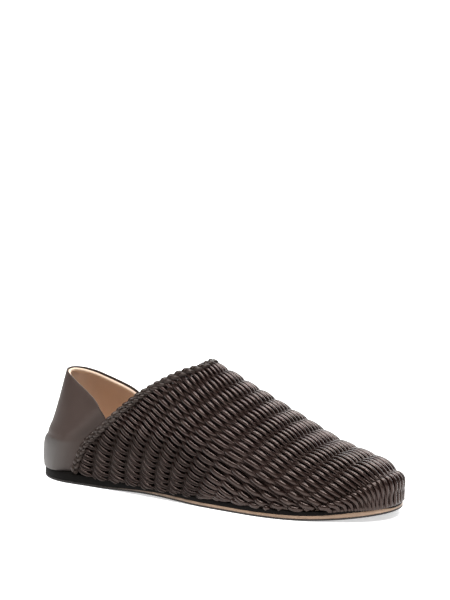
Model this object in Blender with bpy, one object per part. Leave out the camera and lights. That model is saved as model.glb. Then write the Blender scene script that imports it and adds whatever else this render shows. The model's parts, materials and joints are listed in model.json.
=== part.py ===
"""Woven slip-on slipper for the right foot: hollow woven vamp, fold-down counter and layered flat sole."""
import math

import bmesh
import bpy
import numpy as np

# All sizes below are in millimetres, x from heel to toe, y to the inner side of the foot, z up from the floor.
MM = 0.001
LENGTH = 256.8
SECTIONS = {
    "along": (0.00, 0.12, 0.25, 0.45, 0.60, 0.70, 0.82, 0.92, 1.00),
    "outer": (31.0, 32.0, 33.2, 37.2, 41.1, 42.6, 39.6, 35.6, 32.6),
    "inner": (31.0, 32.0, 31.0, 31.0, 38.0, 43.0, 43.5, 41.0, 38.0),
    "ridge": (85.0, 85.0, 88.0, 85.5, 69.6, 56.0, 41.0, 36.1, 37.0),
    "crown": (2.1, 2.1, 2.0, 2.0, 2.0, 2.1, 2.2, 2.4, 2.5),
    "flank": (1.0, 1.0, 1.4, 2.0, 2.1, 2.2, 2.4, 2.5, 2.5),
}
HEEL_BACK = {"height": (6.6, 15.0, 25.0, 37.0, 52.0, 75.0), "along": (3.2, 2.6, 4.3, 9.5, 13.6, 17.4)}
TOPLINE = {
    "height": (6.0, 20.0, 29.0, 36.0, 44.0, 52.0, 63.0, 74.0, 79.0, 82.0),
    "along": (40.0, 45.4, 50.2, 58.0, 66.0, 74.4, 87.6, 105.0, 114.6, 124.0),
}
COLLAR = {
    "along": (16.5, 21.0, 28.0, 36.0, 45.0, 51.5, 55.0, 57.5, 60.0, 63.0, 67.0),
    "height": (68.3, 67.4, 65.2, 61.9, 58.0, 54.6, 51.8, 47.4, 42.0, 36.0, 28.0),
}
LEATHER_LAYER = {
    "along": (40.0, 66.0, 94.0, 124.0, 215.0, 241.0, 250.0, 256.8),
    "thick": (0.3, 0.4, 0.9, 1.6, 1.9, 2.6, 2.6, 0.6),
}
HOOP_LAYOUT = {
    "number": (-4.0, -1.0, 2.0, 5.0, 8.0, 11.0),
    "ridge_along": (74.7, 111.0, 145.4, 175.0, 206.2, 246.2),
    "sole_along": (28.1, 67.7, 103.5, 135.4, 172.6, 202.3),
    "bend": (2.55, 2.36, 2.45, 1.45, 0.77, 0.43),
}
HEEL_ROUND = 34.0
COLLAR_ROUND = 21.0
TOE_ROUND = 66.0
TOE_WALL = 30.0
ROUND_POWER = 2.2
TOE_SWING = 3.5

HEEL_STACK = 6.6
FORE_STACK = 5.8
ARCH_RISE = 1.5
TOE_SPRING = 5.0
HEEL_SPRING = 0.5
RUBBER = 1.2
INSOLE = 1.8
LAYER_GAP = 0.05
SEAT_GAP = 0.3
SOLE_INSET_HEEL = 0.9
SOLE_INSET_FORE = 1.7

HOOPS = 11
HOOP_FIRST = -4
STRAND_PITCH = 2.15
STRANDS = 48
STEPS = 3
TOE_STEPS = 6
STRIP_RAISE = 2.0
WALL = 4.0
EDGE_DEPTH = 1.4
EDGE_SET = 2.2

COUNTER_WALL = 2.0
COUNTER_TUCK = 12.0
COUNTER_DROP = 4.9
DROP_RUN = 14.0
BRAID_RADIUS = 1.7
BRAID_BUMP = 0.3
BRAID_PITCH = 5.2


class Table:
    """Monotone cubic through a short table of values."""

    def __init__(self, xs, ys):
        self.x = np.asarray(xs, float)
        self.y = np.asarray(ys, float)
        h = np.diff(self.x)
        s = np.diff(self.y) / h
        m = np.empty_like(self.y)
        m[0], m[-1] = s[0], s[-1]
        for i in range(1, len(s)):
            if s[i - 1] * s[i] <= 0.0:
                m[i] = 0.0
            else:
                a, b = 2 * h[i] + h[i - 1], h[i] + 2 * h[i - 1]
                m[i] = (a + b) / (a / s[i - 1] + b / s[i])
        self.m = m

    def __call__(self, x):
        x = np.clip(np.asarray(x, float), self.x[0], self.x[-1])
        i = np.clip(np.searchsorted(self.x, x) - 1, 0, len(self.x) - 2)
        h = self.x[i + 1] - self.x[i]
        t = (x - self.x[i]) / h
        a = (1 + 2 * t) * (1 - t) ** 2 * self.y[i] + t * (1 - t) ** 2 * h * self.m[i]
        return a + t * t * (3 - 2 * t) * self.y[i + 1] + t * t * (t - 1) * h * self.m[i + 1]


STATION = np.asarray(SECTIONS["along"]) * LENGTH
OUTER, INNER, RIDGE, CROWN, FLANK = (
    Table(STATION, SECTIONS[key]) for key in ("outer", "inner", "ridge", "crown", "flank"))
BACK = Table(HEEL_BACK["height"], HEEL_BACK["along"])
EDGE = Table(TOPLINE["height"], TOPLINE["along"])
RIM = Table(COLLAR["along"], COLLAR["height"])
LEATHER = Table(LEATHER_LAYER["along"], LEATHER_LAYER["thick"])
HOOP_TOP, HOOP_FOOT, HOOP_BEND = (
    Table(HOOP_LAYOUT["number"], HOOP_LAYOUT[key]) for key in ("ridge_along", "sole_along", "bend"))


def ramp(value, low, high):
    return np.clip((np.asarray(value, float) - low) / (high - low), 0.0, 1.0)


def smooth(value, low, high):
    t = ramp(value, low, high)
    return t * t * (3 - 2 * t)


def underside(x):
    """Height of the tread: flat under heel and forefoot, raised at the waist, the toe and the heel's back."""
    s = np.asarray(x, float) / LENGTH
    arch = ARCH_RISE * np.sin(math.pi * ramp(s, 0.22, 0.55)) ** 2
    return arch + TOE_SPRING * ramp(s, 0.76, 1.0) ** 2 + HEEL_SPRING * ramp(0.03 - s, 0.0, 0.03) ** 2


def feather(x):
    """Height at which the upper meets the sole."""
    s = np.asarray(x, float) / LENGTH
    spring = TOE_SPRING * ramp(s, 0.76, 1.0) ** 2
    return spring + HEEL_STACK + (FORE_STACK - HEEL_STACK) * ramp(s, 0.2, 0.55)


def axis(x):
    return TOE_SWING * ramp(np.asarray(x, float) / LENGTH, 0.35, 1.0) ** 1.5


def toe_fall(x, run):
    return (1 - ramp(x, LENGTH - run, LENGTH) ** ROUND_POWER) ** (1 / ROUND_POWER)


def ridge(x):
    return feather(x) + (RIDGE(x) - feather(x)) * toe_fall(x, TOE_WALL)


def half_width(x, z, side):
    """Half width of the last at a station and height."""
    wide = OUTER(x) if side < 0 else INNER(x)
    t = np.clip((z - feather(x)) / np.maximum(ridge(x) - feather(x), 1e-6), 0.0, 1.0)
    section = (1 - t ** CROWN(x)) ** (1 / FLANK(x))
    run = HEEL_ROUND + (COLLAR_ROUND - HEEL_ROUND) * smooth(z, 20.0, 67.0)
    u = ramp(run - (x - BACK(z)), 0.0, run)
    return wide * section * (1 - u ** ROUND_POWER) ** (1 / ROUND_POWER) * toe_fall(x, TOE_ROUND)


class Weave:
    """Outer face of the woven upper: hoop number along the foot, arc from the ridge around it."""

    def __init__(self):
        self.cache = {}
        self.toe = {side: self.toe_edge(side) for side in (-1, 1)}
        ks = np.linspace(HOOP_FIRST, HOOPS, 400)
        self.corner = float(np.interp(EDGE(HEEL_STACK) + EDGE_SET, HOOP_FOOT(ks), ks))

    def toe_edge(self, side):
        start = float(HOOP_FOOT(HOOPS))
        x = LENGTH - (LENGTH - start) * (1 - np.cos(np.linspace(0, math.pi / 2, 160)))
        z = feather(x) + SEAT_GAP
        y = axis(x) + side * half_width(x, feather(x), side)
        pts = np.stack([x, y, z], -1)
        arc = np.concatenate([[0.0], np.cumsum(np.linalg.norm(np.diff(pts, axis=0), axis=1))])
        return arc, pts

    def hoop(self, k, side):
        key = (round(k, 5), side)
        if key not in self.cache:
            top, foot = float(HOOP_TOP(k)), float(HOOP_FOOT(k))
            u = 1 - np.cos(math.pi / 2 * np.linspace(0, 1, 180) ** 1.15)
            u[-1] = 1.0
            x = top + (foot - top) * (1 - (1 - u) ** HOOP_BEND(k))
            high = ridge(top)
            z = high + (feather(foot) + SEAT_GAP - high) * u
            y = axis(x) + side * half_width(x, z, side)
            y[0] = axis(top)
            pts = np.stack([x, y, z], -1)
            arc = np.concatenate([[0.0], np.cumsum(np.linalg.norm(np.diff(pts, axis=0), axis=1))])
            self.cache[key] = (arc, pts)
        return self.cache[key]

    def reach(self, k, side):
        return self.hoop(min(k, HOOPS), side)[0][-1]

    def on(self, table, d):
        arc, pts = table
        return np.array([np.interp(d, arc, pts[:, c]) for c in range(3)])

    def point(self, k, d):
        side = -1 if d < 0 else 1
        if k <= HOOPS:
            return self.on(self.hoop(k, side), abs(d))
        last = self.hoop(HOOPS, side)
        edge = self.toe[side]
        start = self.on(last, abs(d))
        end = self.on(edge, abs(d) * edge[0][-1] / last[0][-1])
        t = (k - HOOPS) * math.pi / 2
        flat = start + (end - start) * math.sin(t)
        flat[2] = end[2] + (start[2] - end[2]) * math.cos(t)
        return flat

    def normal(self, k, d):
        side = -1 if d < 0 else 1
        k = min(max(k, HOOP_FIRST), HOOPS + 0.97)
        d = side * min(abs(d), self.reach(k, side) - 1.5)
        along = self.point(k + 0.03, d) - self.point(k - 0.03, d)
        around = self.point(k, d + 0.4) - self.point(k, d - 0.4)
        n = np.cross(along, around)
        return n / np.linalg.norm(n)

    def lifted(self, k, d, depth):
        return self.point(k, d) - self.normal(k, d) * depth

    def edge_hoop(self, d):
        """Hoop number at which a strand meets the rear edge of the weave."""
        low, high = self.corner, 2.0
        for _ in range(40):
            mid = (low + high) / 2
            p = self.point(mid, d)
            if p[0] < EDGE(p[2]) + EDGE_SET:
                low = mid
            else:
                high = mid
        return (low + high) / 2

    def rows(self, ds):
        """Start of each row of the mesh, the lower corner standing in for rows that miss the rear edge."""
        starts = []
        for d in ds:
            side = -1 if d < 0 else 1
            if abs(d) < self.reach(self.corner, side) - 0.6 * STRAND_PITCH:
                starts.append(self.edge_hoop(d))
            else:
                starts.append(self.corner)
        return starts


class Shell:
    """Vertices and faces of a closed body."""

    def __init__(self):
        self.verts = []
        self.faces = []
        self.seen = {}

    def vert(self, p):
        self.verts.append(np.asarray(p, float))
        return len(self.verts) - 1

    def face(self, ids):
        kept = [v for i, v in enumerate(ids) if v != ids[i - 1]]
        if len(set(kept)) == len(kept) and len(kept) >= 3:
            self.faces.append(kept)

    def zip(self, a, b):
        """Joins two chains of vertices that run side by side."""
        la, lb = self.run(a), self.run(b)
        i = j = 0
        while i < len(a) - 1 or j < len(b) - 1:
            if j == len(b) - 1 or (i < len(a) - 1 and la[i + 1] <= lb[j + 1]):
                self.face([a[i], a[i + 1], b[j]])
                i += 1
            else:
                self.face([a[i], b[j + 1], b[j]])
                j += 1

    def run(self, ids):
        pts = np.array([self.verts[i] for i in ids])
        arc = np.concatenate([[0.0], np.cumsum(np.linalg.norm(np.diff(pts, axis=0), axis=1))])
        return arc / arc[-1]

    def build(self, name, material, parent):
        mesh = bpy.data.meshes.new(name)
        bm = bmesh.new()
        made = [bm.verts.new(tuple(p * MM)) for p in self.verts]
        for ids in self.faces:
            bm.faces.new([made[i] for i in ids])
        loose = [v for v in bm.verts if not v.link_faces]
        bmesh.ops.delete(bm, geom=loose, context="VERTS")
        bmesh.ops.triangulate(bm, faces=bm.faces[:])
        bmesh.ops.recalc_face_normals(bm, faces=bm.faces[:])
        if bm.calc_volume(signed=True) < 0:
            bmesh.ops.reverse_faces(bm, faces=bm.faces[:])
        bm.to_mesh(mesh)
        bm.free()
        obj = bpy.data.objects.new(name, mesh)
        obj.data.materials.append(material)
        obj.parent = parent
        bpy.context.scene.collection.objects.link(obj)
        return obj


def unique(ids):
    return [v for i, v in enumerate(ids) if i == 0 or v != ids[i - 1]]


def weave_side(shell, weave, ks, ds, depth_of):
    """One face of the woven wall, cut at the rear edge and the sole. Returns its four border chains."""
    starts = weave.rows(ds)
    grid = []
    made = {}
    for k0 in ks:
        column = []
        for j, d0 in enumerate(ds):
            k = starts[j] if k0 < starts[j] + 0.14 else k0
            side = -1 if d0 < 0 else 1
            limit = weave.reach(k, side)
            inside = abs(d0) < limit - 0.35 * STRAND_PITCH
            d = d0 if inside else side * limit
            border = not inside or k == starts[j] or k >= HOOPS + 1 - 1e-6
            key = (round(k, 4), round(d, 4))
            if k > HOOPS and not inside:
                key = (float(HOOPS), round(side * weave.reach(HOOPS, side), 4))
                k = float(HOOPS)
            if key not in made:
                spot = weave.lifted(k, d, depth_of(k, d0, border))
                spot[2] = max(spot[2], float(feather(spot[0])) + SEAT_GAP)
                made[key] = shell.vert(spot)
            column.append(made[key])
        grid.append(column)
    for i in range(len(ks) - 1):
        for j in range(len(ds) - 1):
            shell.face([grid[i][j], grid[i + 1][j], grid[i + 1][j + 1], grid[i][j + 1]])
    rear = unique(grid[0])
    inner = unique([column[-1] for column in grid])
    toe = unique(grid[-1][::-1])
    outer = unique([column[0] for column in grid][::-1])
    return rear, inner, toe, outer


def strip_depth(k, d, border):
    """Depth under the crest: strands rise over every second hoop, neighbours over the ones between."""
    if border:
        return EDGE_DEPTH
    strand = round(d / STRAND_PITCH)
    band = math.floor(k + 1e-6)
    rise = math.sin(math.pi * (k - band)) if (strand + band) % 2 == 0 else 0.0
    if k > HOOPS:
        rise = min(1.0, 1.6 * rise)
    return STRIP_RAISE * (1 - min(1.0, 1.16 * max(rise, 0.0)))


def woven_vamp(weave, material, parent):
    shell = Shell()
    ks = [HOOP_FIRST + i / STEPS for i in range(STEPS * (HOOPS - HOOP_FIRST) + 1)]
    ks += [HOOPS + i / TOE_STEPS for i in range(1, TOE_STEPS + 1)]
    ds = [STRAND_PITCH * j for j in range(-STRANDS, STRANDS + 1)]
    outside = weave_side(shell, weave, ks, ds, strip_depth)
    ks_in = list(range(HOOP_FIRST, HOOPS)) + [HOOPS - 0.5] + [HOOPS + i / 4 for i in range(5)]
    ds_in = [STRAND_PITCH * j for j in range(-STRANDS, STRANDS + 1, 3)]
    inside = weave_side(shell, weave, ks_in, ds_in, lambda k, d, border: WALL)
    for a, b in zip(outside, inside):
        shell.zip(a, b)
    return shell.build("woven_vamp", material, parent)


def topline_braid(weave, material, parent):
    """Plaited cord just behind the weave's rear edge, with a bump for each turn of the plait."""
    reach = [weave.reach(weave.corner, side) - 1.2 for side in (-1, 1)]
    path = []
    for d in np.linspace(-reach[0], reach[1], 320):
        k = weave.edge_hoop(d)
        p = weave.lifted(k, d, 2.25)
        n = weave.normal(k, d)
        a, b = weave.point(weave.edge_hoop(d - 0.5), d - 0.5), weave.point(weave.edge_hoop(d + 0.5), d + 0.5)
        t = (b - a) / np.linalg.norm(b - a)
        back = np.cross(n, t)
        back *= -1 if back[0] > 0 else 1
        path.append(p + back * (BRAID_RADIUS + BRAID_BUMP + SEAT_GAP + 0.25))
    path = np.array(path)
    arc = np.concatenate([[0.0], np.cumsum(np.linalg.norm(np.diff(path, axis=0), axis=1))])
    rings = 2 * round(arc[-1] / BRAID_PITCH) + 1
    at = np.linspace(0, arc[-1], rings)
    pts = np.stack([np.interp(at, arc, path[:, c]) for c in range(3)], -1)
    shell = Shell()
    loops = []
    for i, p in enumerate(pts):
        t = pts[min(i + 1, rings - 1)] - pts[max(i - 1, 0)]
        t /= np.linalg.norm(t)
        u = np.cross(t, (0.0, 1.0, 0.35))
        u /= np.linalg.norm(u)
        v = np.cross(t, u)
        r = BRAID_RADIUS - BRAID_BUMP * math.cos(math.pi * i)
        turn = [math.pi / 3 * s for s in range(6)]
        loops.append([shell.vert(p + r * (math.cos(a) * u + math.sin(a) * v)) for a in turn])
    for a, b in zip(loops, loops[1:]):
        for s in range(6):
            shell.face([a[s], a[s - 1], b[s - 1], b[s]])
    shell.face(loops[0])
    shell.face(loops[-1][::-1])
    return shell.build("topline_braid", material, parent)


def counter_face(x, z, side):
    """Outer face of the counter: the last, drawn in where the weave lies over it."""
    drop = COUNTER_DROP * smooth(x - EDGE(z) + 5.0, -DROP_RUN, 0.0)
    return float(axis(x) + side * max(half_width(x, z, side) - drop, 0.0))


def collar_height(share):
    """Height of the collar where it stands a given share of the way from the back to the front edge."""
    low, high = 12.0, 70.0
    for _ in range(40):
        z = (low + high) / 2
        x = BACK(z) + share * (EDGE(z) + COUNTER_TUCK - BACK(z))
        if RIM(x) > z:
            low = z
        else:
            high = z
    return low


def heel_counter(material, parent):
    shell = Shell()
    shares = [1 - math.cos(math.pi / 2 * i / 16) for i in range(17)]
    stations = [(-1, s) for s in shares[:0:-1]] + [(1, s) for s in shares]
    levels = [0.0, 0.12, 0.24, 0.35, 0.47, 0.6, 0.8, 1.0]
    rims = {s: collar_height(s) for s in shares}
    face = np.zeros((len(stations), len(levels), 3))
    for i, (side, share) in enumerate(stations):
        foot = float(feather(share * (EDGE(HEEL_STACK) + COUNTER_TUCK))) + SEAT_GAP
        for j, level in enumerate(levels):
            z = foot + (rims[share] - foot) * level
            x = float(BACK(z) + share * (EDGE(z) + COUNTER_TUCK - BACK(z)))
            face[i, j] = (x, counter_face(x, z, side), z)
    du = np.gradient(face, axis=0)
    dv = np.gradient(face, axis=1)
    n = np.cross(du, dv)
    n /= np.linalg.norm(n, axis=2, keepdims=True)
    centre = np.array([45.0, 0.0, 0.0])
    outward = np.sign(np.sum(n * (face - centre) * (1, 1, 0), axis=2, keepdims=True))
    inner = face - n * outward * COUNTER_WALL
    inner[:, 0, 2] = face[:, 0, 2]
    a = [[shell.vert(p) for p in row] for row in face]
    b = [[shell.vert(p) for p in row] for row in inner]
    last = len(levels) - 1
    for i in range(len(stations) - 1):
        for j in range(last):
            shell.face([a[i][j], a[i + 1][j], a[i + 1][j + 1], a[i][j + 1]])
            shell.face([b[i][j], b[i][j + 1], b[i + 1][j + 1], b[i + 1][j]])
        shell.face([a[i][last], a[i + 1][last], b[i + 1][last], b[i][last]])
        shell.face([a[i][0], b[i][0], b[i + 1][0], a[i + 1][0]])
    for i in (0, len(stations) - 1):
        for j in range(last):
            shell.face([a[i][j], a[i][j + 1], b[i][j + 1], b[i][j]])
    return shell.build("heel_counter", material, parent)


def outline(inset):
    """Pairs of outline points from heel to toe, drawn in by an amount that may change along the foot."""
    count = 44
    back = float(BACK(HEEL_STACK))
    x = back + (LENGTH - back) * (1 - np.cos(np.linspace(0, math.pi, count))) / 2
    loop = []
    for side, order in ((-1, x), (1, x[::-1])):
        y = axis(order) + side * half_width(order, feather(order), side)
        loop.append(np.stack([order, y], -1))
    ring = np.concatenate([loop[0], loop[1][1:-1]])
    t = np.roll(ring, -1, axis=0) - np.roll(ring, 1, axis=0)
    n = np.stack([t[:, 1], -t[:, 0]], -1)
    n /= np.linalg.norm(n, axis=1, keepdims=True)
    ring = ring - n * np.asarray([inset(v) for v in ring[:, 0]])[:, None]
    left = ring[:count]
    right = np.concatenate([ring[:1], ring[count:][::-1], ring[count - 1:count]])
    return left, right


def layer(name, inset, low, high, material, parent, soft=0.0):
    """One layer of the sole, its upper rim softened where asked."""
    shell = Shell()
    full = outline(inset)
    bands = [(full, lambda x: low(x)), (full, lambda x: high(x) - soft)]
    if soft:
        bands.append((outline(lambda x: inset(x) + soft), high))
    rings = []
    for (left, right), level in bands:
        first = [shell.vert((x, y, float(level(x)))) for x, y in left]
        second = [shell.vert((x, y, float(level(x)))) for x, y in right[1:-1]]
        rings.append((first, [first[0]] + second + [first[-1]]))
    for i in range(len(full[0]) - 1):
        for a, b in zip(rings, rings[1:]):
            for side in (0, 1):
                shell.face([a[side][i], a[side][i + 1], b[side][i + 1], b[side][i]])
        for pair in (rings[0], rings[-1]):
            shell.face([pair[0][i], pair[0][i + 1], pair[1][i + 1], pair[1][i]])
    return shell.build(name, material, parent)


def sole_inset(x):
    return SOLE_INSET_HEEL + (SOLE_INSET_FORE - SOLE_INSET_HEEL) * float(smooth(x, 20.0, 60.0))


def insole_inset(x):
    front = 8.0 - 3.0 * float(smooth(x, 62.0, 90.0))
    return 2.6 + (front - 2.6) * float(smooth(x, 6.0, 30.0))


def finish(name, color, roughness):
    material = bpy.data.materials.new(name)
    material.use_nodes = True
    shader = material.node_tree.nodes["Principled BSDF"]
    shader.inputs["Base Color"].default_value = (*color, 1.0)
    shader.inputs["Roughness"].default_value = roughness
    shader.inputs["Metallic"].default_value = 0.0
    return material


def main():
    for old in list(bpy.data.objects):
        bpy.data.objects.remove(old, do_unlink=True)
    root = bpy.data.objects.new("slipper", None)
    bpy.context.scene.collection.objects.link(root)
    dark = finish("strand_leather", (0.045, 0.034, 0.029), 0.45)
    edge = finish("braid_leather", (0.035, 0.027, 0.024), 0.5)
    smooth_hide = finish("counter_leather", (0.085, 0.066, 0.06), 0.5)
    tan = finish("sock_leather", (0.33, 0.19, 0.11), 0.55)
    mid = finish("midsole_leather", (0.03, 0.025, 0.023), 0.55)
    pale = finish("outsole_edge_leather", (0.42, 0.27, 0.17), 0.6)
    rubber = finish("tread_rubber", (0.02, 0.016, 0.015), 0.75)
    weave = Weave()
    built = [
        woven_vamp(weave, dark, root),
        topline_braid(weave, edge, root),
        heel_counter(smooth_hide, root),
        layer("insole_sock", insole_inset, lambda x: feather(x) + LAYER_GAP,
              lambda x: feather(x) + LAYER_GAP + INSOLE, tan, root, 0.5),
        layer("midsole", sole_inset, lambda x: underside(x) + RUBBER + LEATHER(x) + 2 * LAYER_GAP,
              feather, mid, root),
        layer("outsole_leather", sole_inset, lambda x: underside(x) + RUBBER + LAYER_GAP,
              lambda x: underside(x) + RUBBER + LAYER_GAP + LEATHER(x), pale, root),
        layer("rubber_sole", sole_inset, underside, lambda x: underside(x) + RUBBER, rubber, root),
    ]
    low = np.min([np.min([v.co for v in o.data.vertices], axis=0) for o in built], axis=0)
    high = np.max([np.max([v.co for v in o.data.vertices], axis=0) for o in built], axis=0)
    root.location = (-(low[0] + high[0]) / 2, -(low[1] + high[1]) / 2, -low[2])


main()
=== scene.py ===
"""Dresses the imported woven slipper: strands, plaited edge, fold-down counter, sock and layered sole."""
import json
import logging
import math
from dataclasses import dataclass, field
from enum import Enum
from typing import Callable, Dict, List, Optional, Sequence, Tuple

import bmesh
import bpy
import numpy as np
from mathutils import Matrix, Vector

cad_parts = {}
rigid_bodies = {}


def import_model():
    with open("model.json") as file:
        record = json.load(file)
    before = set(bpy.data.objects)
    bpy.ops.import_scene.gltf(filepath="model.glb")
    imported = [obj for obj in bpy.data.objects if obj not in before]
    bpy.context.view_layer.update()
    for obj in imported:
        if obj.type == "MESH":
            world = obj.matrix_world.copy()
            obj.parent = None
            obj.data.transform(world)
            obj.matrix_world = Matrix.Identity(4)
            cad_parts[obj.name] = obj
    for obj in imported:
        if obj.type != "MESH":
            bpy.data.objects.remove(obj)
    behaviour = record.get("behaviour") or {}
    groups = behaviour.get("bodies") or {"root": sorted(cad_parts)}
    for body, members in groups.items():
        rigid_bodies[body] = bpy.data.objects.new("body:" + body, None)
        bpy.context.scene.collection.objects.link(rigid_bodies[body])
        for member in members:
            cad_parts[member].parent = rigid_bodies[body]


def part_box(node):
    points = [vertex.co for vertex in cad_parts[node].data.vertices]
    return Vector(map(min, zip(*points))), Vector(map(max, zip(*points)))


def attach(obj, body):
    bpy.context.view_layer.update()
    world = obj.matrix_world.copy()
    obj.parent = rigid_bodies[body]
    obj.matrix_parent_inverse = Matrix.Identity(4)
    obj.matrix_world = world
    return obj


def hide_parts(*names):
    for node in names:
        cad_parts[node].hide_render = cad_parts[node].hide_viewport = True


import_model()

LOG = logging.getLogger("slipper")
MM = 0.001
MERGE_DISTANCE = 2e-6
SLIVER_LENGTH = 1e-6
CELL_END = 1.000001
Colour = Tuple[float, float, float]
Level = Callable[[np.ndarray], np.ndarray]


class Side(Enum):
    """Side of the foot, with the sign of its y."""

    OUTER = -1
    INNER = 1


class Slot(Enum):
    """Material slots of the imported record."""

    STRAND = "strand_leather"
    BRAID = "braid_leather"
    COUNTER = "counter_leather"
    SOCK = "sock_leather"
    MIDSOLE = "midsole_leather"
    OUTSOLE = "outsole_edge_leather"
    TREAD = "tread_rubber"


class Table:
    """Monotone cubic through a short table of values."""

    def __init__(self, xs: Sequence[float], ys: Sequence[float]) -> None:
        """Finds slopes that keep the curve from overshooting its points.

        Args:
            xs: First column, rising.
            ys: Second column.
        """
        self.x = np.asarray(xs, float)
        self.y = np.asarray(ys, float)
        h = np.diff(self.x)
        s = np.diff(self.y) / h
        m = np.empty_like(self.y)
        m[0], m[-1] = s[0], s[-1]
        for i in range(1, len(s)):
            if s[i - 1] * s[i] <= 0.0:
                m[i] = 0.0
            else:
                a, b = 2 * h[i] + h[i - 1], h[i] + 2 * h[i - 1]
                m[i] = (a + b) / (a / s[i - 1] + b / s[i])
        self.m = m

    def __call__(self, x: np.ndarray) -> np.ndarray:
        """Value of the curve at x, held level past its ends.

        Args:
            x: Place in the first column.

        Returns:
            Place in the second column.
        """
        x = np.clip(np.asarray(x, float), self.x[0], self.x[-1])
        i = np.clip(np.searchsorted(self.x, x) - 1, 0, len(self.x) - 2)
        h = self.x[i + 1] - self.x[i]
        t = (x - self.x[i]) / h
        a = (1 + 2 * t) * (1 - t) ** 2 * self.y[i] + t * (1 - t) ** 2 * h * self.m[i]
        return a + t * t * (3 - 2 * t) * self.y[i + 1] + t * t * (t - 1) * h * self.m[i + 1]


def ramp(value: np.ndarray, low: float, high: float) -> np.ndarray:
    """Share of the way from low to high, held between 0 and 1."""
    return np.clip((np.asarray(value, float) - low) / (high - low), 0.0, 1.0)


def smooth(value: np.ndarray, low: float, high: float) -> np.ndarray:
    """Soft step from 0 at low to 1 at high."""
    t = ramp(value, low, high)
    return t * t * (3 - 2 * t)


def bell(value: np.ndarray, centre: float, run: float) -> np.ndarray:
    """Soft bump of height 1 around a centre."""
    return np.exp(-(((np.asarray(value, float) - centre) / run) ** 2))


def arc_length(points: np.ndarray) -> np.ndarray:
    """Distance along a chain of points, from its first one."""
    return np.concatenate([[0.0], np.cumsum(np.linalg.norm(np.diff(points, axis=0), axis=1))])


def unit(v: np.ndarray) -> np.ndarray:
    """Vectors of length 1 along the last axis."""
    return v / np.maximum(np.linalg.norm(v, axis=-1, keepdims=True), 1e-9)


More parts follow.
